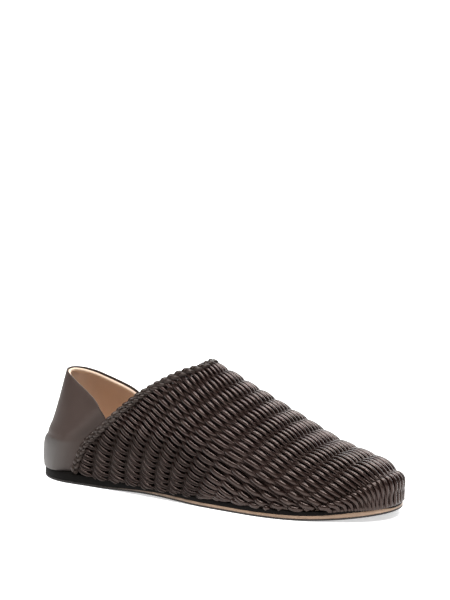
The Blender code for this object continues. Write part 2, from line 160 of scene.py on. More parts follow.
@dataclass
class LastForm:
    """The last that the slipper is made on, in millimetres: x from heel to toe, y to the inner side, z up.

    The stations along it, and the spans of arch, toe, heel, stack and swing, are parts of its length.
    """

    length: float = 256.8
    along: Tuple[float, ...] = (0.0, 0.12, 0.25, 0.45, 0.60, 0.70, 0.82, 0.92, 1.0)
    outer: Tuple[float, ...] = (31.0, 32.0, 33.2, 37.2, 41.1, 42.6, 39.6, 35.6, 32.6)
    inner: Tuple[float, ...] = (31.0, 32.0, 31.0, 31.0, 38.0, 43.0, 43.5, 41.0, 38.0)
    crest: Tuple[float, ...] = (85.0, 85.0, 88.0, 85.5, 69.6, 56.0, 41.0, 36.1, 37.0)
    crown: Tuple[float, ...] = (2.1, 2.1, 2.0, 2.0, 2.0, 2.1, 2.2, 2.4, 2.5)
    flank: Tuple[float, ...] = (1.0, 1.0, 1.4, 2.0, 2.1, 2.2, 2.4, 2.5, 2.5)
    back_height: Tuple[float, ...] = (6.6, 15.0, 25.0, 37.0, 52.0, 75.0)
    back_along: Tuple[float, ...] = (3.2, 2.6, 4.3, 9.5, 13.6, 17.4)
    edge_height: Tuple[float, ...] = (6.0, 20.0, 29.0, 36.0, 44.0, 52.0, 63.0, 74.0, 79.0, 82.0)
    edge_along: Tuple[float, ...] = (40.0, 45.4, 50.2, 58.0, 66.0, 74.4, 87.6, 105.0, 114.6, 124.0)
    rim_along: Tuple[float, ...] = (16.5, 21.0, 28.0, 36.0, 45.0, 51.5, 55.0, 57.5, 60.0, 63.0, 67.0)
    rim_height: Tuple[float, ...] = (68.3, 67.4, 65.2, 61.9, 58.0, 54.6, 51.8, 47.4, 42.0, 36.0, 28.0)
    heel_round: float = 34.0
    collar_round: float = 21.0
    toe_round: float = 66.0
    toe_wall: float = 30.0
    round_power: float = 2.2
    toe_swing: float = 3.5
    heel_stack: float = 6.6
    fore_stack: float = 5.8
    arch_rise: float = 1.5
    toe_spring: float = 5.0
    heel_spring: float = 0.5
    seat_gap: float = 0.3
    inset_heel: float = 0.9
    inset_fore: float = 1.7
    arch_span: Tuple[float, float] = (0.22, 0.55)
    toe_span: Tuple[float, float] = (0.76, 1.0)
    heel_span: float = 0.03
    stack_span: Tuple[float, float] = (0.2, 0.55)
    swing_span: Tuple[float, float] = (0.35, 1.0)
    swing_power: float = 1.5
    collar_span: Tuple[float, float] = (20.0, 67.0)
    inset_span: Tuple[float, float] = (20.0, 60.0)
    outline_points: int = 44

    def __post_init__(self) -> None:
        """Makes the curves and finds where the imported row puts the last."""
        station = np.asarray(self.along) * self.length
        self.wide = {Side.OUTER: Table(station, self.outer), Side.INNER: Table(station, self.inner)}
        self.crest_at = Table(station, self.crest)
        self.crown_at = Table(station, self.crown)
        self.flank_at = Table(station, self.flank)
        self.back = Table(self.back_height, self.back_along)
        self.edge = Table(self.edge_height, self.edge_along)
        self.rim = Table(self.rim_along, self.rim_height)
        left, right = self.outline(self.sole_inset, self.outline_points)
        low = np.min(np.concatenate([left, right]), axis=0)
        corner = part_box("rubber_sole")[0]
        self.origin = np.array([low[0] - corner[0] / MM, low[1] - corner[1] / MM, 0.0])

    def place(self, points: np.ndarray) -> np.ndarray:
        """Points of the last in metres, in the row frame."""
        return (np.asarray(points, float) - self.origin) * MM

    def toe_lift(self, share: np.ndarray) -> np.ndarray:
        """Height by which the toe curls up, at a share of the length."""
        return self.toe_spring * ramp(share, *self.toe_span) ** 2

    def underside(self, x: np.ndarray) -> np.ndarray:
        """Height of the tread: flat under heel and forefoot, raised at the waist, the toe and the back.

        Args:
            x: Station from the heel.

        Returns:
            Height above the floor.
        """
        share = np.asarray(x, float) / self.length
        arch = self.arch_rise * np.sin(math.pi * ramp(share, *self.arch_span)) ** 2
        heel = self.heel_spring * ramp(self.heel_span - share, 0.0, self.heel_span) ** 2
        return arch + self.toe_lift(share) + heel

    def feather(self, x: np.ndarray) -> np.ndarray:
        """Height at which the upper meets the sole.

        Args:
            x: Station from the heel.

        Returns:
            Height above the floor.
        """
        share = np.asarray(x, float) / self.length
        stack = self.heel_stack + (self.fore_stack - self.heel_stack) * ramp(share, *self.stack_span)
        return stack + self.toe_lift(share)

    def axis(self, x: np.ndarray) -> np.ndarray:
        """Sideways place of the last's middle line."""
        share = np.asarray(x, float) / self.length
        return self.toe_swing * ramp(share, *self.swing_span) ** self.swing_power

    def toe_fall(self, x: np.ndarray, run: float) -> np.ndarray:
        """Share of size left where the last rounds off towards the toe."""
        power = self.round_power
        return (1 - ramp(x, self.length - run, self.length) ** power) ** (1 / power)

    def ridge(self, x: np.ndarray) -> np.ndarray:
        """Height of the last's ridge."""
        low = self.feather(x)
        return low + (self.crest_at(x) - low) * self.toe_fall(x, self.toe_wall)

    def half_width(self, x: np.ndarray, z: np.ndarray, side: Side) -> np.ndarray:
        """Half width of the last at a station and height.

        Args:
            x: Station from the heel.
            z: Height.
            side: Side of the foot.

        Returns:
            Distance from the middle line.
        """
        low = self.feather(x)
        t = np.clip((z - low) / np.maximum(self.ridge(x) - low, 1e-6), 0.0, 1.0)
        section = (1 - t ** self.crown_at(x)) ** (1 / self.flank_at(x))
        run = self.heel_round + (self.collar_round - self.heel_round) * smooth(z, *self.collar_span)
        u = np.clip((run - (x - self.back(z))) / run, 0.0, 1.0)
        heel = (1 - u ** self.round_power) ** (1 / self.round_power)
        return self.wide[side](x) * section * heel * self.toe_fall(x, self.toe_round)

    def sole_inset(self, x: np.ndarray) -> np.ndarray:
        """How far the sole's edge lies inside the upper's outline."""
        return self.inset_heel + (self.inset_fore - self.inset_heel) * smooth(x, *self.inset_span)

    def outline(self, inset: Level, count: int) -> Tuple[np.ndarray, np.ndarray]:
        """Outline of the foot drawn in by an amount that may change along it.

        Args:
            inset: Amount at a station.
            count: Points on each side.

        Returns:
            Outer and inner side, each from heel to toe.
        """
        back = float(self.back(self.heel_stack))
        x = back + (self.length - back) * (1 - np.cos(np.linspace(0, math.pi, count))) / 2
        loop = []
        for side, order in ((Side.OUTER, x), (Side.INNER, x[::-1])):
            y = self.axis(order) + side.value * self.half_width(order, self.feather(order), side)
            loop.append(np.stack([order, y], -1))
        ring = np.concatenate([loop[0], loop[1][1:-1]])
        t = np.roll(ring, -1, axis=0) - np.roll(ring, 1, axis=0)
        n = unit(np.stack([t[:, 1], -t[:, 0]], -1))
        ring = ring - n * np.asarray(inset(ring[:, 0]))[:, None]
        right = np.concatenate([ring[:1], ring[count:][::-1], ring[count - 1:count]])
        return ring[:count], right


@dataclass
class HoopField:
    """Outer face of the weave: hoop number along the foot, arc from the ridge around it."""

    last: LastForm
    count: int = 11
    first: int = -4
    number: Tuple[float, ...] = (-4.0, -1.0, 2.0, 5.0, 8.0, 10.0, 11.0)
    ridge_along: Tuple[float, ...] = (75.0, 111.0, 145.0, 175.0, 206.0, 232.0, 249.5)
    sole_along: Tuple[float, ...] = (28.0, 67.5, 103.5, 135.5, 172.5, 191.5, 202.0)
    bend: Tuple[float, ...] = (2.55, 2.4, 2.4, 1.45, 0.8, 0.55, 0.5)
    step: float = 0.05
    shares: int = 161
    hoop_points: int = 180
    hoop_crowd: float = 1.15
    toe_points: int = 160
    normal_hoop: Tuple[float, float] = (0.1, 0.94)
    normal_margin: float = 1.5
    probe_hoop: float = 0.06
    probe_arc: float = 0.6
    edge_top: float = 2.0
    edge_steps: int = 34

    def __post_init__(self) -> None:
        """Lays out the face on both sides, and finds the lower corner of its rear edge."""
        self.top, self.foot, self.bow = (Table(self.number, column)
                                         for column in (self.ridge_along, self.sole_along, self.bend))
        ks = np.arange(self.first, self.count + 1 + self.step / 2, self.step)
        self.face: Dict[Side, np.ndarray] = {}
        self.arc: Dict[Side, np.ndarray] = {}
        for side in Side:
            rows, arcs = zip(*(self.hoop(min(k, float(self.count)), side) for k in ks))
            grid = np.array(rows)
            toe = self.toe_edge(side)
            for i in np.nonzero(ks > self.count + 1e-6)[0]:
                t = (ks[i] - self.count) * math.pi / 2
                start = grid[i].copy()
                grid[i] = start + (toe - start) * math.sin(t)
                grid[i, :, 2] = toe[:, 2] + (start[:, 2] - toe[:, 2]) * math.cos(t)
            self.face[side], self.arc[side] = grid, np.array(arcs)
        self.corner = float(np.interp(self.last.edge(self.last.heel_stack), self.foot(ks), ks))

    def even(self, points: np.ndarray) -> Tuple[np.ndarray, float]:
        """Chain of points at even spacing.

        Args:
            points: The chain.

        Returns:
            The new points, and the length of the chain.
        """
        arc = arc_length(points)
        at = np.linspace(0.0, arc[-1], self.shares)
        return np.stack([np.interp(at, arc, points[:, c]) for c in range(3)], -1), float(arc[-1])

    def toe_edge(self, side: Side) -> np.ndarray:
        """Feather line of the toe.

        Args:
            side: Side of the foot.

        Returns:
            Points from the tip of the toe back to the last hoop.
        """
        last = self.last
        start = float(self.foot(self.count))
        x = last.length - (last.length - start) * (1 - np.cos(np.linspace(0, math.pi / 2, self.toe_points)))
        y = last.axis(x) + side.value * last.half_width(x, last.feather(x), side)
        return self.even(np.stack([x, y, last.feather(x) + last.seat_gap], -1))[0]

    def hoop(self, k: float, side: Side) -> Tuple[np.ndarray, float]:
        """One side of a hoop.

        Args:
            k: Hoop number.
            side: Side of the foot.

        Returns:
            Points from the ridge down to the sole, and the length of that side.
        """
        last = self.last
        top, foot, bow = float(self.top(k)), float(self.foot(k)), float(self.bow(k))
        u = 1 - np.cos(math.pi / 2 * np.linspace(0, 1, self.hoop_points) ** self.hoop_crowd)
        u[-1] = 1.0
        x = top + (foot - top) * (1 - (1 - u) ** bow)
        high = last.ridge(top)
        z = high + (last.feather(foot) + last.seat_gap - high) * u
        y = last.axis(x) + side.value * last.half_width(x, z, side)
        y[0] = last.axis(top)
        return self.even(np.stack([x, y, z], -1))

    def reach(self, k: np.ndarray, side: Side) -> np.ndarray:
        """Arc from the ridge to the sole along a hoop."""
        at = (np.asarray(k, float) - self.first) / self.step
        return np.interp(at, np.arange(len(self.arc[side])), self.arc[side])

    def side_reach(self, k: np.ndarray, d: np.ndarray) -> np.ndarray:
        """Arc from the ridge to the sole, on the side where each arc lies."""
        return np.where(d < 0, self.reach(k, Side.OUTER), self.reach(k, Side.INNER))

    def point(self, k: np.ndarray, d: np.ndarray) -> np.ndarray:
        """Points of the face.

        Args:
            k: Hoop numbers.
            d: Arcs from the ridge, negative on the outer side.

        Returns:
            The points, in millimetres.
        """
        k, d = np.broadcast_arrays(np.asarray(k, float), np.asarray(d, float))
        found = np.zeros(k.shape + (3,))
        for side in Side:
            mine = (d < 0) == (side is Side.OUTER)
            if not mine.any():
                continue
            grid = self.face[side]
            row = np.clip((k[mine] - self.first) / self.step, 0, len(grid) - CELL_END)
            share = np.clip(np.abs(d[mine]) / self.reach(k[mine], side), 0.0, 1.0) * (self.shares - CELL_END)
            i, j = row.astype(int), share.astype(int)
            a, b = (row - i)[:, None], (share - j)[:, None]
            found[mine] = ((1 - a) * ((1 - b) * grid[i, j] + b * grid[i, j + 1])
                           + a * ((1 - b) * grid[i + 1, j] + b * grid[i + 1, j + 1]))
        return found

    def normal(self, k: np.ndarray, d: np.ndarray) -> np.ndarray:
        """Outward directions of the face.

        Args:
            k: Hoop numbers.
            d: Arcs from the ridge, negative on the outer side.

        Returns:
            The directions, of length 1.
        """
        k, d = np.broadcast_arrays(np.asarray(k, float), np.asarray(d, float))
        k = np.clip(k, self.first + self.normal_hoop[0], self.count + self.normal_hoop[1])
        d = np.sign(d) * np.minimum(np.abs(d), self.side_reach(k, d) - self.normal_margin)
        along = self.point(k + self.probe_hoop, d) - self.point(k - self.probe_hoop, d)
        around = self.point(k, d + self.probe_arc) - self.point(k, d - self.probe_arc)
        return unit(np.cross(along, around))

    def lifted(self, k: np.ndarray, d: np.ndarray, depth: np.ndarray) -> np.ndarray:
        """Points at a depth under the face."""
        return self.point(k, d) - self.normal(k, d) * np.asarray(depth, float)[..., None]

    def edge_hoop(self, arc_at: Callable[[np.ndarray], np.ndarray]) -> np.ndarray:
        """Hoop number at which rows meet the rear edge of the weave.

        Args:
            arc_at: Arcs of the rows at hoop numbers.

        Returns:
            The hoop numbers.
        """
        low = np.full(np.shape(arc_at(np.asarray(0.0))), self.corner)
        high = np.full_like(low, self.edge_top)
        for _ in range(self.edge_steps):
            mid = (low + high) / 2
            p = self.point(mid, arc_at(mid))
            behind = p[..., 0] < self.last.edge(p[..., 2])
            low, high = np.where(behind, mid, low), np.where(behind, high, mid)
        return (low + high) / 2


@dataclass
class CordRun:
    """One cord: centre line, outward direction, half sizes, depth of the groove and own shade."""

    centre: np.ndarray
    lift: np.ndarray
    wide: np.ndarray
    thin: np.ndarray
    split: np.ndarray
    shade: float = 0.5


class Nodes:
    """Shorthand for building a node tree."""

    def __init__(self, tree: bpy.types.NodeTree) -> None:
        """Takes the tree that it adds to."""
        self.tree = tree

    def add(self, kind: str, inputs: Optional[Dict[object, object]] = None,
            **settings: object) -> bpy.types.Node:
        """Adds a node.

        Args:
            kind: Node type.
            inputs: Socket index or name, with a value or a socket to link from.
            settings: Properties of the node.

        Returns:
            The node.
        """
        node = self.tree.nodes.new(kind)
        for key, value in settings.items():
            setattr(node, key, value)
        for key, value in (inputs or {}).items():
            if isinstance(value, bpy.types.NodeSocket):
                self.tree.links.new(value, node.inputs[key])
            else:
                node.inputs[key].default_value = value
        return node

    def math(self, operation: str, a: object, b: object = 0.0) -> bpy.types.NodeSocket:
        """Result of a maths node on two values or sockets."""
        return self.add("ShaderNodeMath", {0: a, 1: b}, operation=operation).outputs[0]

    def vector(self, operation: str, a: object, b: object = (0.0, 0.0, 0.0)) -> bpy.types.Node:
        """Vector maths node on two vectors or sockets."""
        return self.add("ShaderNodeVectorMath", {0: a, 1: b}, operation=operation)

    def scaled(self, a: object, by: object) -> bpy.types.NodeSocket:
        """Vector socket times a value."""
        node = self.add("ShaderNodeVectorMath", {0: a, "Scale": by}, operation="SCALE")
        return node.outputs[0]

    def blend(self, factor: object, a: object, b: object) -> bpy.types.NodeSocket:
        """Colour between two colours.

        Args:
            factor: Share of the second colour.
            a: First colour, or a socket.
            b: Second colour, or a socket.

        Returns:
            Socket of the mixed colour.
        """
        made = {0: factor}
        for index, value in ((6, a), (7, b)):
            made[index] = (*value, 1.0) if isinstance(value, tuple) and len(value) == 3 else value
        return self.add("ShaderNodeMix", made, data_type="RGBA").outputs[2]

    def spread(self, value: object, low: float, high: float,
               to: Tuple[float, float] = (0.0, 1.0)) -> bpy.types.NodeSocket:
        """Value moved softly from one range to another."""
        made = {0: value, 1: low, 2: high, 3: to[0], 4: to[1]}
        return self.add("ShaderNodeMapRange", made, interpolation_type="SMOOTHSTEP").outputs[0]


class CordSweep:
    """Geometry Nodes tree that sweeps cords along their centre lines and keeps their flattening."""

    groove_band: Tuple[float, float] = (0.87, 0.98)
    groove_floor: float = 0.5

    def __init__(self) -> None:
        """Builds the tree with its named inputs."""
        tree = bpy.data.node_groups.new("cord_sweep", "GeometryNodeTree")
        face = tree.interface
        face.new_socket(name="Centre lines", in_out="INPUT", socket_type="NodeSocketGeometry")
        sides = face.new_socket(name="Sides", in_out="INPUT", socket_type="NodeSocketInt")
        radius = face.new_socket(name="Unit radius", in_out="INPUT", socket_type="NodeSocketFloat")
        finish = face.new_socket(name="Finish", in_out="INPUT", socket_type="NodeSocketMaterial")
        face.new_socket(name="Cords", in_out="OUTPUT", socket_type="NodeSocketGeometry")
        self.tree = tree
        self.ids = {"sides": sides.identifier, "radius": radius.identifier, "finish": finish.identifier}
        n = Nodes(tree)
        start = n.add("NodeGroupInput")
        curve = n.add("GeometryNodeMeshToCurve", {0: start.outputs[0]})
        place = n.add("GeometryNodeInputPosition").outputs[0]
        turned = {0: curve.outputs[0], "Normal": self.read(n, "lift", "FLOAT_VECTOR")}
        faced = n.add("GeometryNodeSetCurveNormal", turned, mode="FREE")
        kept = self.store(n, faced.outputs[0], "core", place, "FLOAT_VECTOR")
        round_size = {"Resolution": start.outputs[1], "Radius": start.outputs[2]}
        ring = n.add("GeometryNodeCurvePrimitiveCircle", round_size, mode="RADIUS")
        crown = n.math("DIVIDE", n.add("ShaderNodeSeparateXYZ", {0: place}).outputs[0], start.outputs[2])
        crowned = self.store(n, ring.outputs[0], "rise", crown, "FLOAT")
        tube = n.add("GeometryNodeCurveToMesh", {0: kept, 1: crowned, "Fill Caps": True})
        core, lift = (self.read(n, name, "FLOAT_VECTOR") for name in ("core", "lift"))
        wide, thin, split = (self.read(n, name, "FLOAT") for name in ("wide", "thin", "split"))
        off = n.vector("SUBTRACT", place, core).outputs[0]
        height = n.vector("DOT_PRODUCT", off, lift).outputs["Value"]
        groove = n.math("MULTIPLY", n.spread(self.read(n, "rise", "FLOAT"), *self.groove_band), split)
        up = n.scaled(lift, height)
        flat = n.vector("SUBTRACT", off, up).outputs[0]
        deep = n.math("MULTIPLY", thin, n.math("SUBTRACT", 1.0, groove))
        moved = n.vector("ADD", n.scaled(flat, wide), n.scaled(up, deep)).outputs[0]
        spot = n.vector("ADD", core, moved).outputs[0]
        cut = self.store(n, tube.outputs[0], "groove", groove, "FLOAT")
        cords = n.add("GeometryNodeSetPosition", {0: cut, "Position": spot}).outputs[0]
        for name in ("core", "lift", "wide", "thin", "split"):
            cords = n.add("GeometryNodeRemoveAttribute", {0: cords, "Name": name}).outputs[0]
        cords = n.add("GeometryNodeSetShadeSmooth", {0: cords}).outputs[0]
        bottom = n.math("GREATER_THAN", self.read(n, "groove", "FLOAT"), self.groove_floor)
        creased = {0: cords, "Selection": bottom, "Shade Smooth": False}
        cords = n.add("GeometryNodeSetShadeSmooth", creased, domain="EDGE").outputs[0]
        cords = n.add("GeometryNodeRealizeInstances", {0: cords}).outputs[0]
        cords = n.add("GeometryNodeSetMaterial", {0: cords, "Material": start.outputs[3]}).outputs[0]
        n.add("NodeGroupOutput", {0: cords})

    @staticmethod
    def read(n: Nodes, name: str, kind: str) -> bpy.types.NodeSocket:
        """Socket that reads a named attribute."""
        return n.add("GeometryNodeInputNamedAttribute", {"Name": name}, data_type=kind).outputs[0]

    @staticmethod
    def store(n: Nodes, shape: bpy.types.NodeSocket, name: str, value: bpy.types.NodeSocket,
              kind: str) -> bpy.types.NodeSocket:
        """Socket of a shape whose points keep a value under a name."""
        inputs = {0: shape, "Name": name, "Value": value}
        return n.add("GeometryNodeStoreNamedAttribute", inputs, data_type=kind, domain="POINT").outputs[0]

    def build(self, name: str, runs: List[CordRun], sides: int, finish: bpy.types.Material,
              last: LastForm) -> bpy.types.Object:
        """Sweeps cords and turns them into one plain mesh.

        Args:
            name: Piece name.
            runs: The cords.
            sides: Sides of each cord.
            finish: Material.
            last: Form that gives the place in the row frame.

        Returns:
            The piece.
        """
        lines = bpy.data.meshes.new(name + "_lines")
        counts = [len(r.centre) for r in runs]
        ends = np.cumsum(counts)
        edges = [(i, i + 1) for e, c in zip(ends, counts) for i in range(e - c, e - 1)]
        lines.from_pydata(last.place(np.concatenate([r.centre for r in runs])).tolist(), edges, [])
        kept = ("lift", "wide", "thin", "split")
        columns = {key: np.concatenate([getattr(r, key) for r in runs]) for key in kept}
        columns["along"] = np.concatenate([arc_length(r.centre) for r in runs]) * MM
        columns["shade"] = np.repeat([r.shade for r in runs], counts)
        for key, values in columns.items():
            vector = values.ndim == 2
            made = lines.attributes.new(key, "FLOAT_VECTOR" if vector else "FLOAT", "POINT")
            made.data.foreach_set("vector" if vector else "value", values.astype(np.float32).ravel())
        guide = bpy.data.objects.new(name + "_lines", lines)
        bpy.context.scene.collection.objects.link(guide)
        sweep = guide.modifiers.new("cord_sweep", "NODES")
        sweep.node_group = self.tree
        sweep[self.ids["sides"]] = sides
        sweep[self.ids["radius"]] = MM
        sweep[self.ids["finish"]] = finish
        graph = bpy.context.evaluated_depsgraph_get()
        mesh = bpy.data.meshes.new_from_object(guide.evaluated_get(graph), preserve_all_data_layers=True,
                                               depsgraph=graph)
        bpy.data.objects.remove(guide, do_unlink=True)
        bpy.data.meshes.remove(lines)
        return wrap(name, mesh, finish)


def wrap(name: str, mesh: bpy.types.Mesh, finish: bpy.types.Material) -> bpy.types.Object:
    """Object at the origin around a mesh, its faces turned outwards.

    Args:
        name: Piece name.
        mesh: Mesh in the row frame.
        finish: Material.

    Returns:
        The object.
    """
    body = bmesh.new()
    body.from_mesh(mesh)
    if body.calc_volume(signed=True) < 0:
        bmesh.ops.reverse_faces(body, faces=body.faces[:])
    body.to_mesh(mesh)
    body.free()
    mesh.name = name
    mesh.materials.clear()
    mesh.materials.append(finish)
    mesh.polygons.foreach_set("use_smooth", [True] * len(mesh.polygons))
    piece = bpy.data.objects.new(name, mesh)
    bpy.context.scene.collection.objects.link(piece)
    return piece


def solid(name: str, verts: np.ndarray, faces: List[List[int]], finish: bpy.types.Material,
          last: LastForm) -> bpy.types.Object:
    """Closed piece from points of the last and faces.

    Args:
        name: Piece name.
        verts: Points in millimetres.
        faces: Point numbers of each face.
        finish: Material.
        last: Form that gives the place in the row frame.

    Returns:
        The piece.
    """
    mesh = bpy.data.meshes.new(name)
    mesh.from_pydata(last.place(verts).tolist(), [], faces)
    body = bmesh.new()
    body.from_mesh(mesh)
    bmesh.ops.remove_doubles(body, verts=body.verts[:], dist=MERGE_DISTANCE)
    bmesh.ops.dissolve_degenerate(body, edges=body.edges[:], dist=SLIVER_LENGTH)
    bmesh.ops.recalc_face_normals(body, faces=body.faces[:])
    body.to_mesh(mesh)
    body.free()
    return wrap(name, mesh, finish)


def loops(rows: int, columns: int, around: bool) -> List[List[int]]:
    """Faces of a sheet of points, row by row.

    Args:
        rows: Number of rows.
        columns: Points in a row.
        around: Whether each row closes on itself.

    Returns:
        The faces.
    """
    faces = []
    for i in range(rows - 1):
        for j in range(columns if around else columns - 1):
            k = (j + 1) % columns
            faces.append([i * columns + j, (i + 1) * columns + j, (i + 1) * columns + k, i * columns + k])
    return faces


class Effects:
    """Shader node groups that several finishes share."""

    pebble_edge: float = 0.32
    pebble_height: float = 0.6
    pore_scale: float = 2.6
    pore_height: float = 0.5
    pore_detail: float = 2.0
    vein_bend: float = 0.0012
    vein_height: float = 0.8
    vein_detail: float = 3.0
    cloud_band: Tuple[float, float] = (0.3, 0.7)
    cloud_detail: float = 4.0
    rub_band: Tuple[float, float] = (0.52, 0.72)
    rub_detail: float = 5.0
    rub_rough: float = 0.65

    def __init__(self) -> None:
        """Builds the groups once."""
        self.grain = self.grain_group()
        self.mottle = self.mottle_group()

    @staticmethod
    def shell(name: str, inputs: Dict[str, Tuple[str, object]], outputs: Sequence[str]) -> Tuple:
        """Empty shader group with its sockets.

        Args:
            name: Group name.
            inputs: Socket type and default of each input.
            outputs: Names of the value outputs.

        Returns:
            The group, its helper and its input node.
        """
        group = bpy.data.node_groups.new(name, "ShaderNodeTree")
        for key, (kind, value) in inputs.items():
            made = group.interface.new_socket(name=key, in_out="INPUT", socket_type=kind)
            if value is not None:
                made.default_value = value
        for key in outputs:
            group.interface.new_socket(name=key, in_out="OUTPUT", socket_type="NodeSocketFloat")
        n = Nodes(group)
        return group, n, n.add("NodeGroupInput")

    def grain_group(self) -> bpy.types.NodeTree:
        """Leather grain: small pebbles, finer pores and soft veins, as a height.

        Returns:
            The group.
        """
        group, n, start = self.shell("leather_grain", {
            "Vector": ("NodeSocketVector", None), "Pebble scale": ("NodeSocketFloat", 900.0),
            "Vein scale": ("NodeSocketFloat", 160.0)}, ["Height"])
        vector, pebble, vein = start.outputs[0], start.outputs[1], start.outputs[2]
        bent = n.add("ShaderNodeTexNoise", {"Vector": vector, "Scale": vein, "Detail": self.vein_detail})
        warp = n.vector("ADD", vector, n.scaled(bent.outputs[1], self.vein_bend)).outputs[0]
        cells = n.add("ShaderNodeTexVoronoi", {"Vector": warp, "Scale": pebble}, feature="DISTANCE_TO_EDGE")
        pore = n.math("MULTIPLY", pebble, self.pore_scale)
        fine = n.add("ShaderNodeTexNoise", {"Vector": vector, "Scale": pore, "Detail": self.pore_detail})
        humps = n.math("MULTIPLY", n.spread(cells.outputs[0], 0.0, self.pebble_edge), self.pebble_height)
        pores = n.math("MULTIPLY", fine.outputs[0], self.pore_height)
        veins = n.math("MULTIPLY", bent.outputs[0], self.vein_height)
        n.add("NodeGroupOutput", {0: n.math("ADD", n.math("ADD", humps, pores), veins)})
        return group

    def mottle_group(self) -> bpy.types.NodeTree:
        """Uneven dye and handling: broad clouds and small rubs, each from 0 to 1.

        Returns:
            The group.
        """
        group, n, start = self.shell("dye_and_rubs", {
            "Vector": ("NodeSocketVector", None), "Cloud scale": ("NodeSocketFloat", 25.0),
            "Rub scale": ("NodeSocketFloat", 140.0)}, ["Clouds", "Rubs"])
        vector, broad, small = start.outputs[0], start.outputs[1], start.outputs[2]
        cloudy = {"Vector": vector, "Scale": broad, "Detail": self.cloud_detail}
        cloud = n.add("ShaderNodeTexNoise", cloudy)
        patchy = {"Vector": vector, "Scale": small, "Detail": self.rub_detail, "Roughness": self.rub_rough}
        rub = n.add("ShaderNodeTexNoise", patchy)
        clouds = n.spread(cloud.outputs[0], *self.cloud_band)
        rubs = n.spread(rub.outputs[0], *self.rub_band)
        n.add("NodeGroupOutput", {0: clouds, 1: rubs})
        return group


@dataclass(frozen=True)
class LeatherFinish:
    """Dyed leather with grain, uneven dye and rubbed places.

    Lengths are metres in the row frame. Pebble, vein and cloud are scales per metre, and rub_scale is a
    multiple of cloud.
    """

    name: str
    dark: Colour
    light: Colour
    rub: Colour
    roughness: Tuple[float, float] = (0.42, 0.55)
    specular: float = 0.5
    pebble: float = 900.0
    vein: float = 160.0
    depth: float = 0.00006
    cloud: float = 25.0
    rub_scale: float = 5.0
    rub_amount: float = 0.25
    tint: Colour = (1.0, 1.0, 1.0)

    def start(self, effects: Effects) -> Tuple[bpy.types.Material, Nodes, Dict[str, bpy.types.NodeSocket]]:
        """Material with the shared effects in place.

        Args:
            effects: Shared groups.

        Returns:
            The material, its helper, and the sockets of the effects.
        """
        material = bpy.data.materials.new(self.name)
        material.use_nodes = True
        n = Nodes(material.node_tree)
        spot = n.add("ShaderNodeTexCoord").outputs["Object"]
        grain = n.add("ShaderNodeGroup", node_tree=effects.grain)
        mottle = n.add("ShaderNodeGroup", node_tree=effects.mottle)
        scales = ((grain, (self.pebble, self.vein)), (mottle, (self.cloud, self.cloud * self.rub_scale)))
        for node, values in scales:
            material.node_tree.links.new(spot, node.inputs[0])
            node.inputs[1].default_value, node.inputs[2].default_value = values
        clouds, rubs = mottle.outputs
        taps = {"spot": spot, "height": grain.outputs[0], "clouds": clouds, "rubs": rubs}
        return material, n, taps

    def colour(self, n: Nodes, taps: Dict[str, bpy.types.NodeSocket]) -> bpy.types.NodeSocket:
        """Dye that runs from dark to light, with rubbed places."""
        dye = n.blend(taps["clouds"], self.dark, self.light)
        return n.blend(n.math("MULTIPLY", taps["rubs"], self.rub_amount), dye, self.rub)

    def close(self, material: bpy.types.Material, n: Nodes, colour: bpy.types.NodeSocket,
              rough: bpy.types.NodeSocket, height: bpy.types.NodeSocket) -> bpy.types.Material:
        """Joins colour, roughness and height to the shader.

        Args:
            material: Material to finish.
            n: Its helper.
            colour: Base colour.
            rough: Roughness.
            height: Height of the bump.

        Returns:
            The material.
        """
        shader = material.node_tree.nodes["Principled BSDF"]
        bump = n.add("ShaderNodeBump", {"Height": height, "Distance": self.depth, "Strength": 1.0})
        links = material.node_tree.links
        links.new(colour, shader.inputs["Base Color"])
        links.new(rough, shader.inputs["Roughness"])
        links.new(bump.outputs[0], shader.inputs["Normal"])
        shader.inputs["Specular IOR Level"].default_value = self.specular
        shader.inputs["Specular Tint"].default_value = (*self.tint, 1.0)
        return material

    def make(self, effects: Effects) -> bpy.types.Material:
        """Finished material.

        Args:
            effects: Shared groups.

        Returns:
            The material.
        """
        material, n, taps = self.start(effects)
        rough = n.spread(taps["clouds"], 0.0, 1.0, self.roughness)
        return self.close(material, n, self.colour(n, taps), rough, taps["height"])


